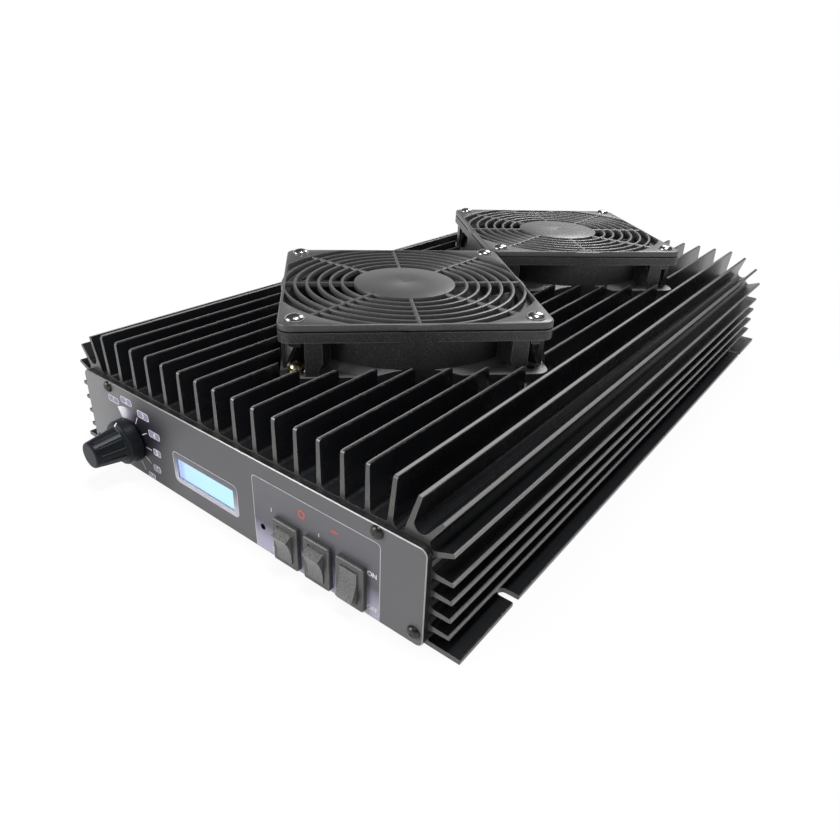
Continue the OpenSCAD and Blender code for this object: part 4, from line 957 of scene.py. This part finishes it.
# %% Guard screws
HOLE_SQUARE, CROSS_TURN = 105.0, 20
FAN_HOLES = HOLE_SQUARE / 2 * math.sqrt(2)
chrome = new_finish("bright_steel", metallic=1.0)
smear = noise(chrome, 500.0)
polished = tones(chrome, smear, (0.36, 0.36, 0.35), (0.52, 0.52, 0.5))
guard_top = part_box("front_fan_guard")[1].z / MM
in_shade = span(chrome, "Z", guard_top - 0.2, guard_top - 0.6)
paint(chrome, blend_colours(chrome, in_shade, polished, (0.05, 0.05, 0.05)))
uneven_gloss(chrome, smear, 0.14, 0.17)
guard_places = []
for middle in fan_middles:
    for k in range(4):
        x, y, z = round_point(FAN_HOLES, math.pi * k / 2, guard_top)
        turn = Matrix.Rotation(math.radians(90 * k + CROSS_TURN), 4, "Z")
        guard_places.append(Matrix.Translation((middle.x + x, middle.y + y, z)) @ turn)
guard_screw = screw_shape(head_r=4.35, head_h=2.3, shank_r=2.0, shank_l=12.4)
screws("guard_pan_screws", guard_places, guard_screw, chrome, "bright_steel", "fan_guard_screws")

# %% [markdown]
# Two yellow screws hold each fan's lower flange, at its front and its back corner. Their
# coat is a yellow passivation over zinc, uneven in tone. A lock washer and a flat one are
# turned in one profile with the screw.

# %% Fan mounting screws
MOUNT_HEAD_HIGH = 2.6
MOUNT_WASHERS = [(1.6, -1.8), (4.2, -1.8), (4.2, -1.0), (3.6, -0.95), (3.6, -0.05)]
yellow_zinc = new_finish("yellow_zinc", roughness=0.25, metallic=1.0)
passivation = noise(yellow_zinc, 600.0)
paint(yellow_zinc, tones(yellow_zinc, passivation, (0.5, 0.42, 0.24), (0.72, 0.64, 0.42)))
mount_low, mount_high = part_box("fan_mount_screws")
mount_places = []
for middle in fan_middles:
    for side in (-1, 1):
        spot = (0, middle.y + side * FAN_HOLES * MM, mount_high.z - MOUNT_HEAD_HIGH * MM)
        mount_places.append(Matrix.Translation(spot) @ Matrix.Rotation(side * 0.5, 4, "Z"))
mount_shank = (mount_high.z - mount_low.z) / MM - MOUNT_HEAD_HIGH
mount_screw = screw_shape(head_r=3.5, head_h=MOUNT_HEAD_HIGH, shank_r=1.6, shank_l=mount_shank,
                          washers=MOUNT_WASHERS)
screws("fan_pan_screws", mount_places, mount_screw, yellow_zinc, "zinc_steel", "fan_mount_screws")

# %% [markdown]
# The panel's four black screws lie along Y, so each is turned from Z to Y and set to the
# panel's front face. Their crosses stand at different angles, as tightened screws do.

# %% Panel screws
PANEL_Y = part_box("front_panel")[0].y
PANEL_SCREWS = [(83.2, 40.8, 10), (-83.2, 40.8, 35), (100.4, 6.0, 48), (-100.4, 6.0, 5)]
FROM_Z_TO_Y = Matrix.Rotation(math.radians(90), 4, "X")
panel_places = []
for x, z, degrees in PANEL_SCREWS:
    turn = FROM_Z_TO_Y @ Matrix.Rotation(math.radians(degrees), 4, "Z")
    panel_places.append(Matrix.Translation((x * MM, PANEL_Y, z * MM)) @ turn)
panel_screw = screw_shape(head_r=2.75, head_h=1.9, shank_r=1.25, shank_l=12.0)
screws("panel_pan_screws", panel_places, panel_screw, black_steel, "black_steel", "front_panel_screws")

# %% [markdown]
# ## Cast fan frames
#
# The fan frames are die-cast and sprayed with a coarse dark grey paint that sparkles in the
# light. The grain is large enough to see, so its bump is deeper than on the plastics. The
# top of the lower flange gets more light from the case and is drawn lighter.

# %% Cast and sprayed finish
cast = new_finish("fan_frame_metal", roughness=0.4, metallic=0.3)
cast_grain = noise(cast, 1300.0, detail=4, roughness=0.75)
cast_colour = ramp(cast, cast_grain, (0.32, (0.024, 0.024, 0.026)), (0.56, (0.052, 0.052, 0.055)),
                   (0.75, (0.16, 0.16, 0.165)))
frame_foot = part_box("front_fan_frame")[0].z / MM
flange_top = product(cast, span(cast, "Z", frame_foot + 9, frame_foot + 6), faces(cast, "Z", 0.3, 0.7))
cast_colour = blend_colours(cast, product(cast, flange_top, 0.75), cast_colour, (0.24, 0.24, 0.245))
# The lighter edges are worn and also a painted highlight.
paint(cast, blend_colours(cast, edge_wear(cast, 0.5, 0.8), cast_colour, (0.26, 0.26, 0.265)))
bump(cast, cast_grain, 0.09, 0.7)
dress(cast, "front_fan_frame", "rear_fan_frame")
print("foot of the fan frames in mm:", round(frame_foot, 2))

# %% [markdown]
# ## Bright metals
#
# Screws, nuts, spacers and sockets are plated. Plating is a thin metal coat, so the shader
# is fully metallic, with a little uneven roughness from handling.

# %% Plated metals
def plated(name, dark, light, roughness, grain=700.0):
    finish = new_finish(name, metallic=1.0)
    tarnish = noise(finish, grain)
    paint(finish, tones(finish, tarnish, dark, light))
    uneven_gloss(finish, tarnish, 0.2, roughness - 0.08)
    return finish


dress(chrome, "fan_guard_screws")
dress(plated("zinc_steel", (0.5, 0.48, 0.42), (0.66, 0.64, 0.58), 0.3), "fan_mount_screws",
      "fan_spacers", "socket_screws", "board_screws", "transistor_screws", "knob_grub_screw")
dress(plated("nickel_plate", (0.6, 0.58, 0.54), (0.75, 0.73, 0.69), 0.22), "rf_input_socket",
      "rf_output_socket", "keying_jack_nut", "band_switch_nut", "band_switch_shaft", "ground_terminal")
dress(plated("brass", (0.55, 0.4, 0.16), (0.72, 0.55, 0.25), 0.3), "keying_jack", "ground_nuts",
      "board_spacers", "control_board_spacers")
dress(plated("tinned_steel", (0.45, 0.46, 0.47), (0.58, 0.59, 0.6), 0.35), "lcd_module")
dress(plated("copper_winding", (0.5, 0.22, 0.08), (0.7, 0.33, 0.13), 0.3, grain=2500.0), "supply_choke",
      "filter_coils", "front_fan_stator", "rear_fan_stator")
print("input socket:", nodes["rf_input_socket"].data.materials[0].name)

# %% [markdown]
# ## Circuit boards and what they carry
#
# The boards hang under the top plate and show only from below or behind. The solder mask is
# green with slightly lighter copper tracks under it, drawn by a brick pattern. The packages,
# the cores and the capacitors' sleeves are moulded, so they use that function again.

# %% Boards and their parts
board_green = new_finish("circuit_board", roughness=0.35)
tracks = add(board_green, "ShaderNodeTexBrick")
tracks.inputs["Color1"].default_value = (0.01, 0.11, 0.04, 1)
tracks.inputs["Color2"].default_value = (0.015, 0.16, 0.06, 1)
tracks.inputs["Mortar"].default_value = (0.02, 0.23, 0.09, 1)
tracks.inputs["Scale"].default_value = 90.0
tracks.inputs["Mortar Size"].default_value = 0.04
put(board_green, place(board_green), tracks.inputs["Vector"])
paint(board_green, tracks.outputs["Color"])
bump(board_green, tracks.outputs["Fac"], 0.03, 0.4)
dress(board_green, "control_board", "power_board", "filter_board")
dress(moulded("ceramic_package", (0.05, 0.05, 0.055), (0.08, 0.08, 0.085), 800.0, 0.02, 0.4),
      "rf_transistors")
dress(moulded("ferrite", (0.04, 0.04, 0.042), (0.07, 0.07, 0.072), 1500.0, 0.05, 0.6),
      "input_transformer", "output_transformer")
dress(moulded("capacitor_sleeve", (0.012, 0.016, 0.06), (0.02, 0.026, 0.09), 500.0, 0.01, 0.3),
      "supply_capacitors")
print("boards dressed:", [name for name in nodes if name.endswith("_board")])

# %% [markdown]
# ## Printing on the panel
#
# The sharp printed marks are thin inked shapes on the paint. A texture could hold them, but
# shapes stay crisp in close views. Each is a flat outline in the panel's plane, given
# 0.03 mm of thickness so that it sits on the paint. One outline gives a patch, and two give
# a line between them. A line over a patch is one layer higher.

# %% Printed outlines
INK = 0.03 * MM
CORNER_STEPS = 6


def printed(name, loops, finish, layer=1):
    """A thin inked piece from outlines of (x, z) points in mm."""
    mesh = bmesh.new()
    front, back = [[[mesh.verts.new((x * MM, y, z * MM)) for x, z in loop] for loop in loops]
                   for y in (PANEL_Y - INK * layer, PANEL_Y + INK / 3)]
    strips = list(zip(front, back))
    if len(front) == 2:
        strips.append(front)
    else:
        mesh.faces.new(front[0])
    for outline, under in strips:
        for i in range(len(outline)):
            j = (i + 1) % len(outline)
            mesh.faces.new((outline[i], outline[j], under[j], under[i]))
    return piece_of(outward_data(mesh, name), name, finish, "chassis", "panel_metal")


def rounded(cx, cz, width, height, radius):
    """Outline of a rectangle with round corners, as points in mm."""
    points = []
    for corner, (sx, sz) in enumerate(((1, 1), (-1, 1), (-1, -1), (1, -1))):
        for step in range(CORNER_STEPS + 1):
            turn = math.radians(90 * corner + 90 * step / CORNER_STEPS)
            points.append((cx + sx * (width / 2 - radius) + radius * math.cos(turn),
                           cz + sz * (height / 2 - radius) + radius * math.sin(turn)))
    return points


def bar(x0, z0, x1, z1, width):
    """A straight stroke from one point to another."""
    dx, dz = x1 - x0, z1 - z0
    half = width / 2 / math.hypot(dx, dz)
    sx, sz = -dz * half, dx * half
    return [(x0 + sx, z0 + sz), (x0 - sx, z0 - sz), (x1 - sx, z1 - sz), (x1 + sx, z1 + sz)]


print("ink thickness in mm:", round(INK / MM, 3))

# %% [markdown]
# Screen-printing ink lies on the paint with a fine uneven tone, so each ink is a two-toned
# noise, and not one colour. Characters are made from a font curve: it is turned into a mesh,
# centred, thickened a little as printed type is, and stood up in the panel's plane.

# %% Inks and lettering
THICK_TYPE, THIN_TYPE, LARGE_TYPE = 0.1 * MM, 0.07 * MM, 1.9
CAPITAL_SHARE = 0.7


def ink(name, dark, light):
    finish = new_finish(name, roughness=0.5)
    paint(finish, tones(finish, noise(finish, 4000.0), dark, light, 0.35, 0.65))
    return finish


def lettered(name, words, x, z, height):
    """Printed characters, centred on a place of the panel and as high as given, in mm."""
    font = bpy.data.curves.new(name + "_outline", "FONT")
    font.body = words
    font.size = height * MM / CAPITAL_SHARE
    font.align_x = "CENTER"
    font.align_y = "CENTER"
    font.extrude = INK / 2
    font.offset = THICK_TYPE if height > LARGE_TYPE else THIN_TYPE
    writing = bpy.data.objects.new(name + "_outline", font)
    bpy.context.scene.collection.objects.link(writing)
    data = evaluated_mesh(writing)
    bpy.data.objects.remove(writing)
    corners = [[pick(v.co[i] for v in data.vertices) for i in range(3)] for pick in (min, max)]
    middle = (Vector(corners[0]) + Vector(corners[1])) / 2
    data.transform(FROM_Z_TO_Y @ Matrix.Translation(-middle))
    data.transform(Matrix.Translation((x * MM, PANEL_Y - INK * 2.5, z * MM)))
    data.materials.clear()
    return piece_of(data, name, white_ink, "chassis", "panel_metal")


white_ink = ink("white_ink", (0.62, 0.62, 0.64), (0.8, 0.8, 0.82))
line_ink = ink("line_ink", (0.46, 0.46, 0.49), (0.56, 0.56, 0.59))
lavender_ink = ink("lavender_ink", (0.22, 0.21, 0.32), (0.28, 0.27, 0.4))
red_ink = ink("red_ink", (0.6, 0.05, 0.03), (0.75, 0.08, 0.05))
print("inks:", [m.name for m in (white_ink, line_ink, lavender_ink, red_ink)])

# %% [markdown]
# ## Dial round the knob
#
# Seven numbered boxes stand round the knob, one for each of its positions, and ticks 30
# degrees apart lead to the last five. Each box is a lavender patch with a white rim.

# %% Numbers, boxes and ticks
NUMBER_BOXES = [(-80.4, 34.9, 8.6, 3.3), (-69.3, 37.7, 8.8, 3.4), (-56.6, 34.6, 8.8, 3.8),
                (-49.6, 27.0, 8.6, 3.6), (-49.4, 17.7, 5.7, 3.5), (-51.5, 8.2, 5.8, 3.5),
                (-57.0, 2.3, 5.7, 2.9)]
RIM = 0.3
TICK_INNER, TICK_OUTER, TICK_WIDE = 11.6, 16.3, 0.45


def knob_point(radius, degrees):
    """A point of the panel in mm, from the knob's middle."""
    turn = math.radians(degrees)
    return KNOB_X + radius * math.cos(turn), KNOB_Z + radius * math.sin(turn)


for number, (x, z, width, height) in enumerate(NUMBER_BOXES, 1):
    outer = rounded(x, z, width, height, 1.0)
    inner = rounded(x, z, width - 2 * RIM, height - 2 * RIM, 1.0 - RIM)
    printed(f"number_box_{number}", [outer], lavender_ink)
    printed(f"number_rim_{number}", [outer, inner], white_ink, layer=2)
    lettered(f"number_{number}", str(number), x, z, min(height - 1.1, 2.4))
for i, degrees in enumerate((60, 30, 0, -30, -60)):
    ends = (*knob_point(TICK_INNER, degrees), *knob_point(TICK_OUTER, degrees))
    printed(f"dial_tick_{i}", [bar(*ends, TICK_WIDE)], white_ink)
print("numbers printed:", len(NUMBER_BOXES))

# %% [markdown]
# A printed wedge above the knob starts light and fades out clockwise. Its ink has the angle
# round the knob as the ramp's value, so the fade follows the curve.

# %% Wedge beside the knob
WEDGE_INNER, WEDGE_OUTER = 10.2, 16.4
WEDGE_START, WEDGE_FADED, WEDGE_STEP = 119, 62, 5
wedge_ink = new_finish("wedge_ink", roughness=0.5)
across, upwards = knob_offsets(wedge_ink)
wedge_turn = sums(wedge_ink, "ARCTAN2", upwards, across)
wedge_colour = ramp(wedge_ink, angle_span(wedge_ink, wedge_turn, WEDGE_START, WEDGE_FADED),
                    (0.0, (0.85, 0.85, 0.87)), (0.3, (0.62, 0.6, 0.66)),
                    (0.6, (0.27, 0.23, 0.33)), (1.0, (0.02, 0.016, 0.028)))
paint(wedge_ink, wedge_colour)
wedge_angles = [WEDGE_START - WEDGE_STEP * i for i in range(12)]
wedge = [knob_point(WEDGE_INNER, a) for a in wedge_angles]
wedge += [knob_point(WEDGE_OUTER, a) for a in reversed(wedge_angles)]
printed("knob_wedge", [wedge], wedge_ink)
print("wedge corners:", len(wedge))

# %% [markdown]
# ## Frame of the display, switch box and switch signs
#
# The display sits in a printed frame that is lavender at its foot and dark above, with a
# thin line round it. The switches have a box of the same line. Their signs are generic:
# numbers, ON and OFF, a red ring and a red bar.

# %% Display frame, switch box and signs
FRAME_X, FRAME_Z, FRAME_WIDE, FRAME_HIGH = -14.4, 16.8, 44.4, 16.2
OPENING_WIDE, OPENING_HIGH = 38.6, 10.2
FRAME_LINE, BOX_LINE = 0.35, 0.3
RED_X, RED_Z, RED_OUTER, RED_INNER = 45.7, 29.6, 1.9, 1.35
BAR_LEFT, BAR_RIGHT, BAR_Z, BAR_WIDE = 61.6, 64.4, 30.1, 0.9
WORDS = {
    "word_on": ("ON", 81.1, 20.7, 2.0),
    "word_off": ("OFF", 81.3, 4.9, 2.0),
    "first_switch_1": ("1", 28.6, 23.6, 1.8),
    "first_switch_2": ("2", 28.6, 3.9, 1.8),
    "middle_switch_1": ("1", 54.9, 24.6, 1.6),
}
frame_ink = new_finish("frame_ink", roughness=0.45)
frame_colour = ramp(frame_ink, span(frame_ink, "Z", 8.5, 25), (0.0, (0.5, 0.49, 0.56)),
                    (0.35, (0.32, 0.31, 0.37)), (1.0, (0.1, 0.098, 0.115)))
paint(frame_ink, frame_colour)
frame_outline = rounded(FRAME_X, FRAME_Z, FRAME_WIDE, FRAME_HIGH, 2.6)
frame_opening = rounded(WINDOW_X, WINDOW_Z, OPENING_WIDE, OPENING_HIGH, 0.05)
line_inside = rounded(FRAME_X, FRAME_Z, FRAME_WIDE - 2 * FRAME_LINE, FRAME_HIGH - 2 * FRAME_LINE, 2.3)
box_outline = rounded(BOX_X, BOX_Z, BOX_WIDE, BOX_HIGH, 2.0)
box_inside = rounded(BOX_X, BOX_Z, BOX_WIDE - 2 * BOX_LINE, BOX_HIGH - 2 * BOX_LINE, 2.0 - BOX_LINE)
printed("display_frame", [frame_outline, frame_opening], frame_ink)
printed("display_line", [frame_outline, line_inside], line_ink, layer=2)
printed("switch_box_line", [box_outline, box_inside], line_ink)
for name, (words, x, z, height) in WORDS.items():
    lettered(name, words, x, z, height)
red_ring = [[(RED_X + r * math.cos(a * math.pi / 16), RED_Z + r * math.sin(a * math.pi / 16))
             for a in range(32)] for r in (RED_OUTER, RED_INNER)]
printed("red_ring", red_ring, red_ink)
printed("red_bar", [bar(BAR_LEFT, BAR_Z, BAR_RIGHT, BAR_Z, BAR_WIDE)], red_ink)
print("words printed:", len(WORDS))

# %% [markdown]
# ## Pointer on the knob
#
# A white line on the knob's skirt shows the chosen band. It is a strip that follows the
# skirt's profile a hair above it, and it rides with the knob.

# %% Pointer
KNOB_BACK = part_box("band_knob")[1].y
SKIRT_LINE = [(8.9, 6.5), (9.6, 6.5), (10.4, 6.0), (10.75, 5.4)]
POINTER_HALF, HAIR = 0.45, 0.05
mark = bmesh.new()
rows = []
for radius, depth in SKIRT_LINE:
    y = KNOB_BACK - (depth + HAIR) * MM
    z = (KNOB_Z + radius + HAIR) * MM
    rows.append([mark.verts.new(((KNOB_X + side * POINTER_HALF) * MM, y, z)) for side in (-1, 1)])
for a, b in zip(rows, rows[1:]):
    mark.faces.new((a[0], a[1], b[1], b[0]))
mark_data = bpy.data.meshes.new("knob_pointer")
mark.to_mesh(mark_data)
mark.free()
pointer = piece_of(mark_data, "knob_pointer", white_ink, "band_knob", "knob_plastic")
print("pointer points:", len(pointer.data.vertices))

# %% [markdown]
# ## Colour handling and the end
#
# The view transform stays plain, so a colour renders about as it is written.

# %% Finish
bpy.context.scene.view_settings.view_transform = "Standard"
